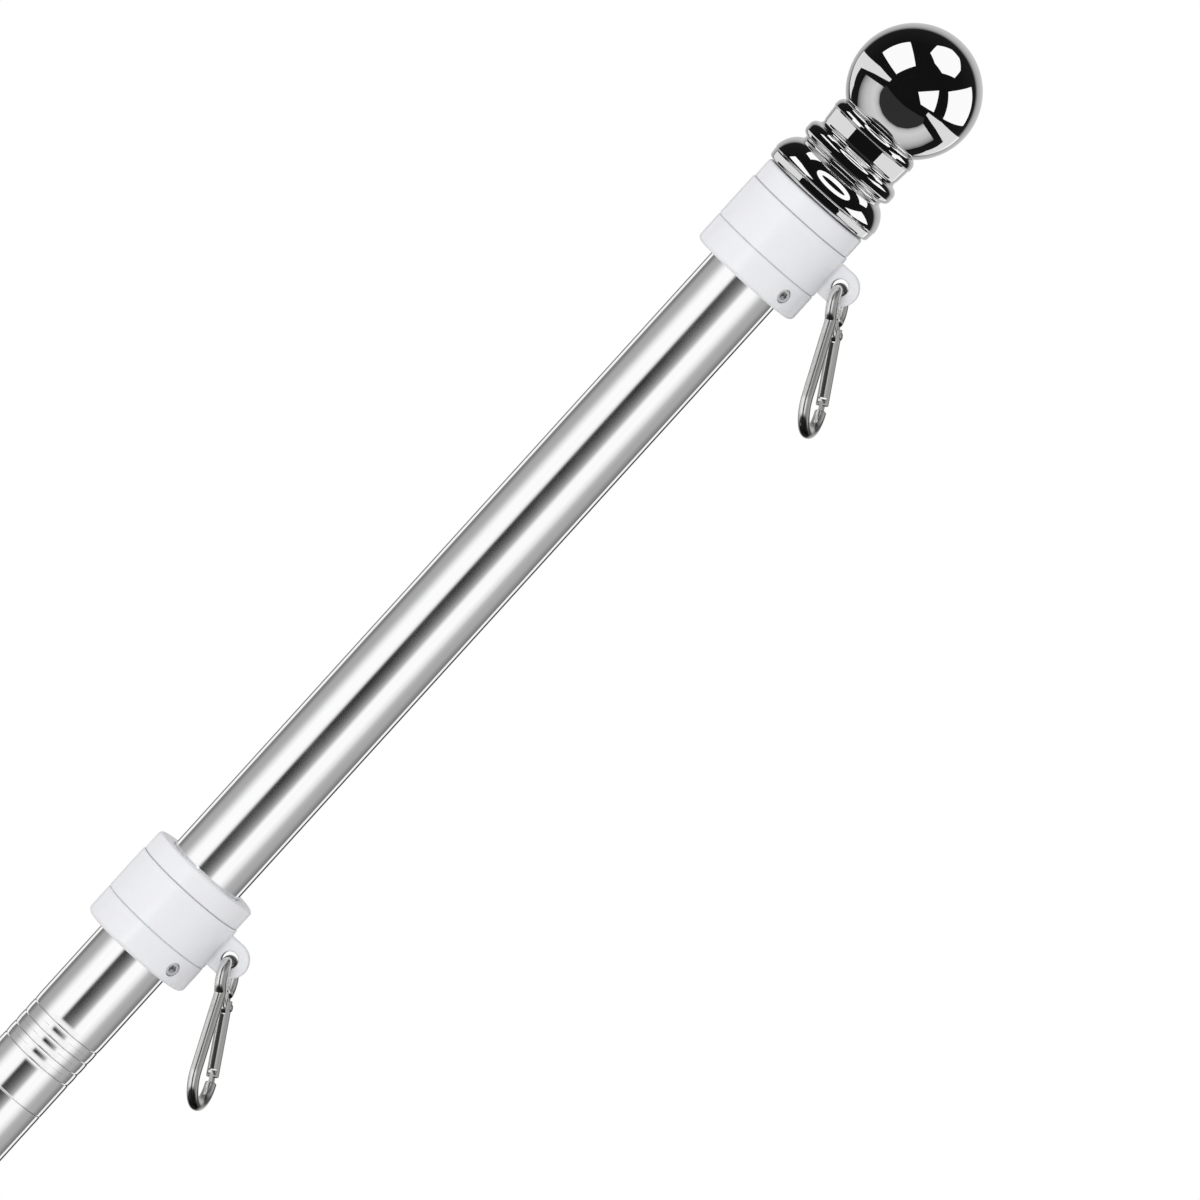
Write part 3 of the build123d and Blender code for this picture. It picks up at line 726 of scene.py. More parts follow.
def swivel_ring(name, middle):
    """Collar with its screw hole, cap flange, and turning band with its lug."""
    place = on_pole(middle)
    foot = -HALF_BAND - RUNNING_GAP
    lip = HALF_BAND + RUNNING_GAP

    def ring_piece(bm, part, body):
        stands_for = f"{name}_ring_{part}"
        return piece(bm, f"{name}_{part}", place, f"{name}_{body}", "ring_plastic", stands_for)

    collar = turned(
        [
            (RING_BORE, foot - COLLAR_HEIGHT, SEAM_ROUNDING),
            (RING_RADIUS, foot - COLLAR_HEIGHT, COLLAR_ROUNDING),
            (RING_RADIUS, foot, SEAM_ROUNDING),
            (RING_RADIUS - SEAM_DEPTH, foot, 0),
            (RING_RADIUS - SEAM_DEPTH, foot + SEAM_LIP, 0),
            (SLEEVE_RADIUS, foot + SEAM_LIP, 0),
            (SLEEVE_RADIUS, lip, 0),
            (RING_BORE, lip, 0),
        ],
        ROUND_STEPS,
    )
    screw_side = Matrix.Rotation(-SCREW_TURN, 4, "Z") @ Matrix.Rotation(pi / 2, 4, "Y")
    screw_height = Matrix.Translation((0, 0, foot - COLLAR_HEIGHT / 2))
    hole = rod(SCREW_RADIUS, RING_RADIUS + 4, screw_height @ screw_side)
    collar = cut_or_join(collar, hole, "DIFFERENCE", "collar")
    grub_screw(f"{name}_grub_screw", place @ screw_height @ screw_side, f"{name}_collar", name)
    ring_piece(collar, "collar", "collar")

    flange = turned(
        [
            (RING_BORE, lip, 0),
            (SLEEVE_RADIUS + 0.05, lip, 0),
            (SLEEVE_RADIUS + 0.05, lip - SEAM_LIP, 0),
            (FLANGE_RADIUS - SEAM_DEPTH, lip - SEAM_LIP, 0),
            (FLANGE_RADIUS - SEAM_DEPTH, lip, 0),
            (FLANGE_RADIUS, lip, SEAM_ROUNDING),
            (FLANGE_RADIUS, lip + FLANGE_HEIGHT, 1.0),
            (RING_BORE, lip + FLANGE_HEIGHT, SEAM_ROUNDING),
        ],
        ROUND_STEPS,
    )
    ring_piece(flange, "flange", "collar")

    band = turned(
        [
            (SLEEVE_RADIUS + RUNNING_GAP, -HALF_BAND, 0),
            (RING_RADIUS, -HALF_BAND, SEAM_ROUNDING),
            (RING_RADIUS, HALF_BAND, SEAM_ROUNDING),
            (SLEEVE_RADIUS + RUNNING_GAP, HALF_BAND, 0),
        ],
        ROUND_STEPS,
    )
    half = LUG_THICKNESS / 2
    tab = tongue(
        start=(LUG_REACH, -half, -LUG_END_RADIUS),
        centre=(LUG_REACH, 0, 0),
        axis=(0, -1, 0),
        steps=36,
        root=[(SLEEVE_RADIUS + 1.6, -half, side * LUG_END_RADIUS) for side in (1, -1)],
        thickness=(0, LUG_THICKNESS, 0),
        edge_width=0.6,
        from_x=RING_RADIUS - 2.2,
    )
    band = cut_or_join(band, tab, "UNION", "band")
    # Drill for the lug's hole, with flanks that round its rims
    reach = half + 0.02
    end = reach + 2
    side = [(0, end, 0), (LUG_DRILL_FLANK, end, 0), (LUG_DRILL_FLANK, reach, 0)]
    side.append((LUG_HOLE_RADIUS, reach, 0.5))
    other_side = [(radius, -height, rounding) for radius, height, rounding in side]
    bore = turned(other_side + side[::-1], SMALL_STEPS)
    aside = Matrix.Translation((LUG_REACH, 0, 0)) @ Matrix.Rotation(pi / 2, 4, "X")
    bmesh.ops.transform(bore, matrix=aside, verts=bore.verts[:])
    band = cut_or_join(band, bore, "DIFFERENCE", "band")
    # Faces inside the lug's hole take the second material, the nylon with painted shade
    for face in band.faces:
        x, y, z = face.calc_center_median()
        in_hole = (x - LUG_REACH) ** 2 + z**2 < (LUG_HOLE_RADIUS + 0.2) ** 2
        face.material_index = int(in_hole and abs(y) < half - 0.35)
    made = ring_piece(band, "band", "band")
    made.data.materials.append(painted_bore_shade)


def on_hook(middle):
    """Matrix from millimetres in a hook's own plane to the frame."""
    hang = Vector((-sin(HOOK_LEAN), 0, -cos(HOOK_LEAN)))
    square = Vector((cos(HOOK_LEAN), 0, -sin(HOOK_LEAN)))
    to_gate = Vector((0, cos(HOOK_YAW), 0)) + square * sin(HOOK_YAW)
    hole = (POLE_DIRECTION * middle + LUG_DIRECTION * LUG_REACH) * MM
    return placed(hole, hang, to_gate, hang.cross(to_gate))


def in_hook(angle):
    """Direction at an angle in the hook's plane."""
    return Vector((cos(angle), sin(angle), 0))


def bend(bm, ring, centre, turn, steps):
    """Carries a wire's end ring round a centre, and gives the new end ring."""
    return of_kind((BMVert, BMEdge), spin(bm, ring, centre, (0, 0, 1), turn, steps))


def draw_out(bm, ring, way, shrink=1.0):
    """Carries a wire's end ring along a vector, and gives the new end ring."""
    drawn = bmesh.ops.extrude_edge_only(bm, edges=of_kind(BMEdge, ring))["geom"]
    verts = of_kind(BMVert, drawn)
    middle = sum((v.co for v in verts), Vector()) / len(verts)
    space = Matrix.Translation(-middle)
    bmesh.ops.scale(bm, vec=(shrink, shrink, shrink), space=space, verts=verts)
    bmesh.ops.translate(bm, vec=way, verts=verts)
    return verts + [edge for edge in of_kind(BMEdge, drawn) if all(v in verts for v in edge.verts)]


def round_off(bm, ring, way, length):
    """Closes a wire's end with a dome."""
    for step in range(DOME_STEPS):
        first, second = (DOME_SWEEP * at / DOME_STEPS for at in (step, step + 1))
        rise = way * length * (sin(second) - sin(first))
        ring = draw_out(bm, ring, rise, cos(second) / cos(first))
    bmesh.ops.contextual_create(bm, geom=of_kind(BMEdge, ring))


def block(low, high, height, width):
    """Box on the gate's line, from low to high along the hook."""
    bm = bmesh.new()
    place = Matrix.Translation(((low + high) / 2, GATE_OFFSET, 0))
    sizes = Matrix.Diagonal((high - low, height, width, 1))
    bmesh.ops.create_cube(bm, size=1, matrix=place @ sizes)
    return bm


def hook_wire():
    """Bent wire with its eye, kink, spine, foot and latching nose."""
    eye_end_turn = asin(GATE_OFFSET / EYE_RADIUS)
    eye_end = EYE_CENTRE + in_hook(eye_end_turn) * EYE_RADIUS
    wire = bmesh.new()
    way = in_hook(eye_end_turn + pi / 2)
    place = Matrix.Translation(eye_end) @ way.to_track_quat("Z", "Y").to_matrix().to_4x4()
    bmesh.ops.create_circle(wire, cap_ends=False, segments=28, radius=WIRE_RADIUS, matrix=place)
    first = wire.verts[:] + wire.edges[:]
    ring = bend(wire, first, EYE_CENTRE, tau - KINK_ANGLE - eye_end_turn, 52)
    kink_centre = EYE_CENTRE + in_hook(-KINK_ANGLE) * (EYE_RADIUS + KINK_RADIUS)
    ring = bend(wire, ring, kink_centre, KINK_ANGLE - SPINE_ANGLE - pi / 2, 12)
    left = in_hook(pi / 2 - SPINE_ANGLE)
    spine_end = kink_centre + left * KINK_RADIUS + in_hook(-SPINE_ANGLE) * SPINE_LENGTH
    for _ in range(6):
        ring = draw_out(wire, ring, in_hook(-SPINE_ANGLE) * SPINE_LENGTH / 6)
    foot_centre = spine_end + left * FOOT_RADIUS
    ring = bend(wire, ring, foot_centre, pi / 2 + SPINE_ANGLE, 30)
    nose_centre = foot_centre + Vector((FOOT_RADIUS - NOSE_RADIUS, 0, 0))
    ring = bend(wire, ring, nose_centre, NOSE_SWEEP, 20)
    round_off(wire, ring, in_hook(NOSE_SWEEP + pi / 2), 0.7)
    round_off(wire, [edge for edge in of_kind(BMEdge, first) if edge.is_valid], -way, 0.9)
    bmesh.ops.recalc_face_normals(wire, faces=wire.faces[:])
    # Small blind hole by the nose
    dimple = rod(0.45, 2, Matrix.Translation(nose_centre + in_hook(radians(50)) * NOSE_RADIUS))
    bmesh.ops.translate(dimple, vec=(0, 0, WIRE_RADIUS - 0.8), verts=dimple.verts[:])
    wire = cut_or_join(wire, dimple, "DIFFERENCE", "wire")

    half = TANG_THICKNESS / 2
    root_sides = [GATE_OFFSET + side * 0.8 * WIRE_RADIUS for side in (1, -1)]
    tang = tongue(
        start=(RIVET_AT, GATE_OFFSET - GATE_RADIUS + GATE_GAP, -half),
        centre=(RIVET_AT, GATE_OFFSET, 0),
        axis=(0, 0, 1),
        steps=20,
        root=[(eye_end.x - 0.6, root_side, -half) for root_side in root_sides],
        thickness=(0, 0, TANG_THICKNESS),
        edge_width=0.2,
        from_x=RIVET_AT - 4,
    )
    nose_x = nose_centre.x + NOSE_RADIUS * cos(NOSE_SWEEP)
    latch = 2 * (WIRE_RADIUS - 0.45)
    neck = block(LATCH_FOOT - 0.2, nose_x + 0.6, latch, LATCH_NECK)
    head = block(LATCH_FOOT - 1, LATCH_FOOT, latch, LATCH_HEAD)
    soften(head, 0.15, radians(35))
    for part in (tang, neck, head):
        wire = cut_or_join(wire, part, "UNION", "hook")
    return wire


def hook_gate():
    """Tube gate, forked over the tang and slotted over the nose's latch."""
    length = GATE_END - GATE_START
    along = Matrix.Translation((GATE_START, GATE_OFFSET, 0)) @ Matrix.Rotation(pi / 2, 4, "Y")
    outline = [(0, 0, 0), (GATE_RADIUS, 0, 0.3), (GATE_RADIUS, length, 0.45), (0, length, 0)]
    gate = turned(outline, 56)
    bmesh.ops.transform(gate, matrix=along, verts=gate.verts[:])
    fork_end = RIVET_AT + GATE_RADIUS + GATE_GAP
    for low, high, width in (
        (GATE_START - 1, fork_end, TANG_THICKNESS + 2 * GATE_GAP),
        (LATCH_FOOT - 1 - LATCH_PLAY, LATCH_FOOT + LATCH_PLAY, LATCH_HEAD + LATCH_PLAY),
        (LATCH_FOOT, GATE_END + 1, LATCH_NECK + LATCH_PLAY),
    ):
        gate = cut_or_join(gate, block(low, high, 6, width), "DIFFERENCE", "gate")
    return gate


def gate_rivet():
    """Domed rivet through the gate's fork."""
    end = GATE_RADIUS + 0.05
    head = [(0, end + 0.42, 0), (0.75, end + 0.38, 0.3), (RIVET_HEAD, end + 0.12, 0.15)]
    head += [(RIVET_HEAD, end, 0), (RIVET_RADIUS, end, 0)]
    other_head = [(radius, -height, rounding) for radius, height, rounding in head]
    rivet = turned(other_head + head[::-1], 40)
    bmesh.ops.translate(rivet, vec=(RIVET_AT, GATE_OFFSET, 0), verts=rivet.verts[:])
    return rivet


for name, middle in (("upper", UPPER_BAND), ("lower", LOWER_BAND)):
    swivel_ring(name, middle)
    place = on_hook(middle)
    for bm, label, body, node in (
        (hook_wire(), "hook_wire", "snap_hook", "hook"),
        (hook_gate(), "gate_tube", "snap_gate", "gate"),
        (gate_rivet(), "gate_pin", "snap_hook", "gate_rivet"),
    ):
        rides_on = f"{name}_{body}"
        made = piece(bm, f"{name}_{label}", place, rides_on, "hook_steel", f"{name}_{node}")
        made.visible_glossy = False


CASTING_ROUNDING = 0.7


def cast_bracket():
    """The casting with its edges rounded over."""
    bm = bmesh.new()
    bm.from_mesh(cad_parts["wall_bracket"].data)
    bm.transform(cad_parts["wall_bracket"].matrix_world)
    bmesh.ops.remove_doubles(bm, verts=bm.verts[:], dist=1e-6)
    bmesh.ops.dissolve_limit(bm, angle_limit=radians(1), verts=bm.verts[:], edges=bm.edges[:])
    bmesh.ops.scale(bm, vec=[1 / MM] * 3, verts=bm.verts[:])
    soften(bm, CASTING_ROUNDING, radians(28))
    place = Matrix.Scale(MM, 4)
    piece(bm, "cast_bracket", place, "pole", "cast_aluminium", "wall_bracket")


cast_bracket()

# The bracket's screw keeps its own mesh
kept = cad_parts["bracket_set_screw"]
kept.data.materials.clear()
kept.data.materials.append(FINISHES["screw_steel"])


# Studio


def stage_piece(name, bm, material):
    """Part of the studio, not of the flagpole."""
    made = mesh_object(name, bm, material)
    return made


def only_mirrored_by(light, receivers):
    """A far light that shows in the mirror images on some pieces and nowhere else."""
    light.visible_camera = False
    light.visible_diffuse = False
    light.visible_transmission = False
    light.visible_volume_scatter = False
    light.visible_shadow = False
    light.light_linking.receiver_collection = receivers


def glow_through(name):
    """Light material that is added to what lies behind it, its tree and its light node."""
    material = bpy.data.materials.new(name)
    material.use_nodes = True
    material.cycles.emission_sampling = "NONE"
    tree = material.node_tree
    tree.nodes.clear()
    light = add_node(tree, "Emission")
    clear = add_node(tree, "BsdfTransparent")
    both = add_node(tree, "AddShader")
    output = add_node(tree, "OutputMaterial")
    tree.links.new(light.outputs[0], both.inputs[0])
    tree.links.new(clear.outputs[0], both.inputs[1])
    tree.links.new(both.outputs[0], output.inputs["Surface"])
    return material, tree, light


def direction_part(tree, vector, axis):
    """How far a direction points along an axis."""
    dot = add_node(tree, "VectorMath", operation="DOT_PRODUCT")
    dot.inputs[1].default_value = axis
    tree.links.new(vector, dot.inputs[0])
    return dot.outputs["Value"]


def way_on_dome(tree):
    """Direction from a dome's middle to its surface."""
    coordinates = add_node(tree, "TexCoord")
    unit = add_node(tree, "VectorMath", operation="NORMALIZE")
    tree.links.new(coordinates.outputs["Object"], unit.inputs[0])
    return unit.outputs["Vector"]


def dome(name, middle, radius, material, receivers):
    """Far sphere of light round a point."""
    bm = bmesh.new()
    bmesh.ops.create_uvsphere(bm, u_segments=96, v_segments=48, radius=radius)
    made = stage_piece(name, bm, material)
    made.location = middle
    only_mirrored_by(made, receivers)


def receivers_named(name, endings, wanted=True):
    """Collection for a light of the shown pieces whose names end so, or of the others."""
    group = bpy.data.collections.new(name)
    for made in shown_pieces():
        if made.name.endswith(endings) == wanted:
            group.objects.link(made)
    return group


by_ball = receivers_named("mirrored_by_ball", "finial_globe")
by_bell = receivers_named("mirrored_by_bell", "finial_bell")
by_finial = receivers_named("mirrored_by_finial", ("finial_bell", "finial_globe"))
by_hooks = receivers_named("mirrored_by_hooks", ("hook_wire", "gate_pin"))
by_gates = receivers_named("mirrored_by_gates", "gate_tube")
OWN_DOMES = ("finial_bell", "finial_globe", "hook_wire", "gate_pin", "gate_tube")
by_rest = receivers_named("mirrored_by_rest", OWN_DOMES, wanted=False)
by_rings = receivers_named("lit_rings", ("_collar", "_flange", "_band"))

# Directions round the pole: across it to the lugs' side, and to the camera
TO_FRONT = (TO_CAMERA - POLE_DIRECTION * TO_CAMERA.dot(POLE_DIRECTION)).normalized()
TO_SIDE = POLE_DIRECTION.cross(TO_FRONT)
if TO_SIDE.dot(LUG_DIRECTION) < 0:
    TO_SIDE = -TO_SIDE
CAMERA_LEAN = TO_CAMERA.dot(POLE_DIRECTION)
UP_THE_BALL = (POLE_DIRECTION - TO_CAMERA * CAMERA_LEAN).normalized()
BALL_CENTRE = POLE_DIRECTION * (FINIAL_FOOT + BALL_HEIGHT) * MM
CARD_DISTANCE = 30.0
# Rounded shoulder of the bell: its foot, its radius and the middle of that rounding
BELL_SHOULDER_FOOT = 3.5
BELL_SHOULDER_ROUNDING = 7.92
BELL_SHOULDER_CENTRE = 11.88
FINIAL_DOME_RADIUS = 32.0


def seen_in_ball(across, up):
    """Far place that the finial's ball mirrors at a point of its disc."""
    out = sqrt(1 - across * across - up * up)
    way = (TO_SIDE * across + UP_THE_BALL * up) * 2 * out + TO_CAMERA * (2 * out * out - 1)
    return BALL_CENTRE + way * CARD_DISTANCE


def seen_in_bell(across, height):
    """Far place that the bell's shoulder mirrors, by millimetres beside and up its axis."""
    tilt = asin((height - BELL_SHOULDER_FOOT) / BELL_SHOULDER_ROUNDING)
    reach = BELL_SHOULDER_CENTRE + BELL_SHOULDER_ROUNDING * cos(tilt)
    turn = asin(across / reach)
    normal = TO_FRONT * cos(turn) * cos(tilt) + TO_SIDE * sin(turn) * cos(tilt)
    normal += POLE_DIRECTION * sin(tilt)
    return BALL_CENTRE + (normal * 2 * normal.dot(TO_CAMERA) - TO_CAMERA) * CARD_DISTANCE


def strips(first, second):
    """Four-cornered outlines between two rows of points."""
    rows = list(zip(first, second))
    return [(a[0], a[1], b[1], b[0]) for a, b in zip(rows, rows[1:])]


def between_rows(first, second, share):
    """Row of points part of the way from one row to another."""
    return [
        (a[0] + (b[0] - a[0]) * share, a[1] + (b[1] - a[1]) * share) for a, b in zip(first, second)
    ]


def card(name, outlines, material, seen=seen_in_ball, receivers=by_ball):
    """Softbox whose faces have their corners at points of a mirroring surface."""
    bm = bmesh.new()
    for corners in outlines:
        bm.faces.new([bm.verts.new(seen(*corner)) for corner in corners])
    only_mirrored_by(stage_piece(name, bm, material), receivers)


def shaded_card(name, rows, receivers):
    """Softbox in strips between rows of points of the ball's disc, with a level for each row."""
    bm = bmesh.new()
    shade = bm.verts.layers.float_color.new("level")
    drawn = []
    for points, level in rows:
        drawn.append([bm.verts.new(seen_in_ball(*point)) for point in points])
        for vert in drawn[-1]:
            vert[shade] = (level, level, level, 1)
    for first, second in zip(drawn, drawn[1:]):
        for corners in strips(first, second):
            bm.faces.new(corners)
    material, tree, light = glow_through(f"{name}_light")
    colour = add_node(tree, "VertexColor", layer_name="level")
    tree.links.new(colour.outputs["Color"], light.inputs["Color"])
    only_mirrored_by(stage_piece(name, bm, material), receivers)


def finial_studio():
    """What the chrome finial mirrors: a dark room, white softboxes and a pale table."""
    room, tree, light = glow_through("finial_room")
    way = way_on_dome(tree)
    back = POLE_DIRECTION * 0.16 + TO_SIDE * 0.05 - TO_CAMERA
    behind = direction_part(tree, way, back.normalized())
    level = ramp_node(tree, behind, ((0.0, 0.006), (0.69, 0.012), (0.8, 0.38), (1.0, 0.6)))
    tree.links.new(level, light.inputs["Color"])
    dome("finial_dome", BALL_CENTRE, FINIAL_DOME_RADIUS, room, by_finial)

    def glow(name, level):
        material, _, light = glow_through(name)
        light.inputs["Color"].default_value = (level, level, level, 1)
        return material

    white = glow("softbox_white", 1.0)
    left = ((-0.52, 0.49), (-0.23, 0.275), (-0.36, 0.0), (-0.72, 0.11))
    right = ((0.56, 0.61), (0.86, 0.12), (0.58, -0.02), (0.37, 0.32))
    card("side_softboxes", (left, right), white)
    low_left = ((-0.73, 0.08), (-0.65, 0.25), (-0.51, 0.21), (-0.23, 0.05), (-0.37, -0.01))
    low_right = ((0.4, 0.09), (0.6, 0.36), (0.825, 0.16), (0.56, 0.0))
    high_left = ((-0.25, 0.7), (-0.34, 0.79), (-0.51, 0.555), (-0.42, 0.51))
    high_right = ((0.3, 0.7), (0.39, 0.79), (0.57, 0.555), (0.48, 0.51))
    shapes = (low_left, low_right, high_left, high_right)
    card("bell_softboxes", shapes, white, receivers=by_bell)
    small = ((0.26, 0.24), (0.415, -0.045), (0.2, -0.09), (0.05, 0.02))
    top = ((-0.2, 0.71), (0.0, 0.81), (0.16, 0.79), (0.29, 0.67))
    top += ((0.3, 0.53), (0.12, 0.455), (-0.05, 0.49), (-0.2, 0.56))
    card("top_softboxes", (small, top), white)

    def oval(half_width, half_height):
        turns = [tau * at / 24 for at in range(25)]
        return [(1.0 + half_width * cos(turn), 7.1 + half_height * sin(turn)) for turn in turns]

    card("ring_light", strips(oval(4.5, 0.5), oval(6.5, 1.5)), white, seen_in_bell, by_bell)

    wedge = ((0.36, -0.1), (0.6, -0.07), (0.94, -0.02), (0.925, -0.2), (0.86, -0.39))
    wedge += ((0.76, -0.56), (0.62, -0.7), (0.72, -0.52), (0.79, -0.37), (0.81, -0.25))
    wedge += ((0.6, -0.2), (0.36, -0.15))
    sides = [[(side * across, up) for across, up in wedge] for side in (-1, 1)]
    card("horizon", sides, glow("softbox_pale", 0.72), receivers=by_finial)
    outer = ((-0.69, -0.29), (-0.66, -0.42), (-0.58, -0.58), (-0.42, -0.76), (0.0, -0.87))
    outer += ((0.42, -0.78), (0.56, -0.62), (0.65, -0.45), (0.69, -0.33))
    inner = ((-0.37, -0.26), (-0.35, -0.36), (-0.26, -0.48), (-0.12, -0.56), (0.02, -0.58))
    inner += ((0.16, -0.56), (0.29, -0.48), (0.38, -0.36), (0.41, -0.27))
    shares = ((0.0, 0.12), (0.15, 0.36), (0.35, 0.52), (0.7, 0.62), (0.9, 0.5), (1.0, 0.2))
    rows = [(between_rows(outer, inner, share), level) for share, level in shares]
    shaded_card("table", rows, by_finial)
    horizon = ((0.37, -0.2), (0.2, -0.25), (0.02, -0.266), (-0.2, -0.255), (-0.35, -0.22))
    card("floor_dark", ((*inner, *horizon),), glow("floor_charcoal", 0.022), receivers=by_finial)


finial_studio()

# Levels of the studio round the pole, by the angle from the camera's side in degrees
STUDIO_ROUND_POLE = (
    (-169, 0.55), (-165, 0.16), (-154, 0.16), (-150, 0.98), (-136, 0.98), (-131, 0.16),
    (-120, 0.24), (-109, 0.38), (-90, 0.42), (-80, 0.54), (-69, 0.82), (-58, 1.02),
    (-31, 1.02), (-25.5, 0.8), (-20, 0.08), (-15, 0.02), (-3, 0.09), (7, 0.2),
    (17, 0.42), (22, 0.75), (27, 1.02), (50, 1.02), (63, 0.82), (76, 0.5),
    (88, 0.42), (103, 0.4), (131, 0.16), (135, 0.98), (147, 0.98), (150, 0.03),
    (165, 0.03), (169, 0.55),
)
# The same round the hooks, by the angle about a line up the hook
STUDIO_ROUND_HOOKS = (
    (-180, 0.45), (-150, 0.3), (-125, 0.35), (-100, 0.3), (-85, 0.9), (-45, 1.0),
    (-38, 0.9), (-30, 0.05), (-16, 0.04), (-8, 0.5), (4, 0.95), (16, 0.8),
    (28, 0.3), (70, 0.32), (100, 0.42), (118, 0.1), (140, 0.06), (152, 0.5),
    (180, 0.45),
)
# The same for the gates, whose front is darker
STUDIO_ROUND_GATES = (
    (-180, 0.45), (-150, 0.3), (-110, 0.35), (-78, 0.3), (-62, 0.06), (-12, 0.03),
    (0, 0.08), (10, 0.62), (24, 0.45), (70, 0.36), (110, 0.42), (130, 0.12),
    (150, 0.3), (180, 0.45),
)


def banded_dome(name, axis, stops, across_stops, shade_stops, receivers, radius):
    """Dome with bands round an axis, a pale gap across them and a shade towards its ends."""
    lean = TO_CAMERA.dot(axis)
    front = (TO_CAMERA - axis * lean).normalized()
    side = axis.cross(front)
    if side.dot(TO_SIDE) < 0:
        side = -side
    bands, tree, light = glow_through(f"{name}_light")
    way = way_on_dome(tree)
    aside = direction_part(tree, way, side)
    angle = math_node(tree, "ARCTAN2", aside, direction_part(tree, way, front))
    turn = math_node(tree, "MULTIPLY_ADD", angle, 1 / tau, 0.5)
    level = ramp_node(tree, turn, [(a / 360 + 0.5, v) for a, v in stops])
    along = math_node(tree, "ADD", direction_part(tree, way, axis), lean)
    gap = ramp_node(tree, math_node(tree, "ABSOLUTE", along), across_stops)
    facing = ramp_node(tree, math_node(tree, "ABSOLUTE", angle), ((0.6, 1), (1.0, 0)))
    in_gap = math_node(tree, "MULTIPLY", gap, facing)
    mixed = mix_colours(tree, in_gap, level, (0.95, 0.95, 0.95))
    height = math_node(tree, "MULTIPLY_ADD", along, 0.5, 0.5)
    shade = ramp_node(tree, height, shade_stops)
    shaded = mix_colours(tree, 1.0, mixed, shade, "MULTIPLY")
    tree.links.new(shaded, light.inputs["Color"])
    dome(name, POLE_DIRECTION, radius, bands, receivers)


# Where the pale gap opens across the bands, and where the bands fade towards the ends
POLE_GAP = ((0.045, 0), (0.11, 1), (0.4, 1), (0.5, 0))
NO_GAP = ((0.0, 0), (1.0, 0))
POLE_SHADE = ((0.06, 0.05), (0.12, 1), (0.8, 1), (0.86, 0.05))
HOOK_SHADE = ((0.0, 0.02), (0.2, 0.04), (0.32, 0.9), (0.7, 1), (0.85, 0.5), (1.0, 0.3))
UP_THE_HOOK = Vector((sin(HOOK_LEAN), 0, cos(HOOK_LEAN)))
for label, axis, stops, gap, shade, receivers, radius in (
    ("pole_dome", POLE_DIRECTION, STUDIO_ROUND_POLE, POLE_GAP, POLE_SHADE, by_rest, 60.0),
    ("hook_dome", UP_THE_HOOK, STUDIO_ROUND_HOOKS, NO_GAP, HOOK_SHADE, by_hooks, 64.0),
    ("gate_dome", UP_THE_HOOK, STUDIO_ROUND_GATES, NO_GAP, HOOK_SHADE, by_gates, 68.0),
):
    banded_dome(label, axis, stops, gap, shade, receivers, radius)


def make_world():
    """White to the eye and through clear things, soft light on surfaces, the domes in mirrors."""
    world = bpy.data.worlds.new("studio")
    world.use_nodes = True
    bpy.context.scene.world = world
    tree = world.node_tree
    tree.nodes.clear()
    coordinates = add_node(tree, "TexCoord")
    rise = direction_part(tree, coordinates.outputs["Generated"], (-0.35, -0.35, 0.87))
    height = math_node(tree, "MULTIPLY_ADD", rise, 0.5, 0.5)
    level = ramp_node(tree, height, ((0.0, 0.78), (0.5, 0.84), (1.0, 0.92)))
    light = add_node(tree, "LightPath")
    for ray, shown in (("Is Glossy Ray", 0), ("Is Camera Ray", 1), ("Is Transmission Ray", 1)):
        level = mix_colours(tree, light.outputs[ray], level, (shown, shown, shown))
    background = add_node(tree, "Background")
    tree.links.new(level, background.inputs["Color"])
    output = add_node(tree, "OutputWorld")
    tree.links.new(background.outputs[0], output.inputs["Surface"])


make_world()


FLOOR_MIDDLE = (0.6, 0, -0.25)
FLOOR_RADIUS = 5.0


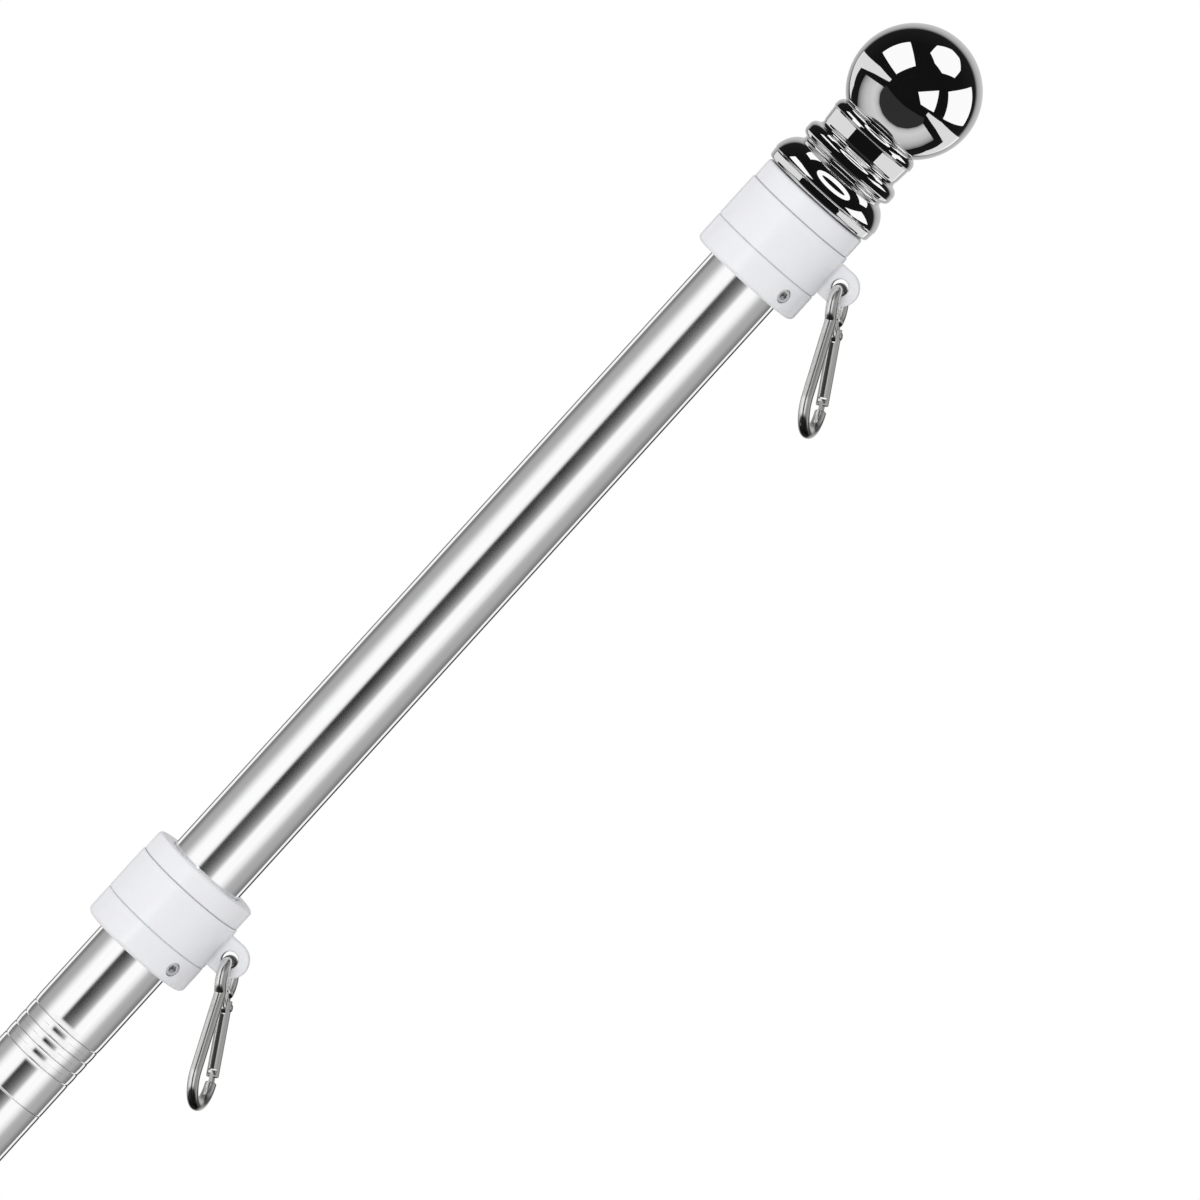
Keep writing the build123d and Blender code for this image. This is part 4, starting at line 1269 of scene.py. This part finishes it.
def make_floor():
    """Plain pale floor below the wall bracket."""
    bm = bmesh.new()
    place = Matrix.Translation(FLOOR_MIDDLE)
    bmesh.ops.create_circle(bm, cap_ends=True, segments=96, radius=FLOOR_RADIUS, matrix=place)
    finish = Finish("pale_floor", (0.94, 0.94, 0.94), 0.0, 0.9)
    # To the eye it fades into the white backdrop towards its rim
    tree = finish.tree
    coordinates = add_node(tree, "TexCoord")
    away = add_node(tree, "VectorMath", operation="DISTANCE")
    away.inputs[1].default_value = FLOOR_MIDDLE
    tree.links.new(coordinates.outputs["Object"], away.inputs[0])
    reach = math_node(tree, "DIVIDE", away.outputs["Value"], FLOOR_RADIUS)
    fade = ramp_node(tree, reach, ((0.3, 0), (0.95, 1)))
    light = add_node(tree, "LightPath")
    seen = math_node(tree, "MULTIPLY", fade, light.outputs["Is Camera Ray"])
    white = add_node(tree, "Emission")
    both = add_node(tree, "MixShader")
    for socket, output in zip(both.inputs, (seen, finish.shader.outputs[0], white.outputs[0])):
        tree.links.new(output, socket)
    tree.links.new(both.outputs[0], tree.nodes["Material Output"].inputs["Surface"])
    finish.material.cycles.emission_sampling = "NONE"
    floor = stage_piece("floor", bm, finish.material)
    floor.visible_glossy = False


make_floor()


LAMP_ON_POLE = 1.7
LAMP_DISTANCE = 1.2
LAMP_TURN = radians(26)


def ring_lamp():
    """Strip softbox along the pole, that lights only the rings."""
    data = bpy.data.lights.new("ring_strip", "AREA")
    data.shape = "RECTANGLE"
    data.size = 0.12
    data.size_y = 1.6
    data.energy = 3.0
    lamp = new_object("ring_strip", data)
    way = TO_FRONT * cos(LAMP_TURN) - TO_SIDE * sin(LAMP_TURN)
    lamp.location = POLE_DIRECTION * LAMP_ON_POLE + way * LAMP_DISTANCE
    flat = POLE_DIRECTION.cross(way).normalized()
    lamp.rotation_euler = Matrix((flat, way.cross(flat), way)).transposed().to_euler()
    lamp.visible_camera = False
    lamp.light_linking.receiver_collection = by_rings


ring_lamp()

camera_data = bpy.data.cameras.new("camera")
camera_data.type = "PERSP"
camera_data.sensor_width = 36
camera_data.lens = CAMERA_LENS
camera_data.clip_end = 100
camera = new_object("camera", camera_data)
centre = (POLE_DIRECTION * VIEW_CENTRE_ON_POLE + LUG_DIRECTION * VIEW_CENTRE_OFF_POLE) * MM
camera.location = centre + TO_CAMERA * CAMERA_DISTANCE
camera.rotation_euler = TO_CAMERA.to_track_quat("Z", "Y").to_euler()
bpy.context.scene.camera = camera
bpy.context.scene.view_settings.view_transform = "Standard"
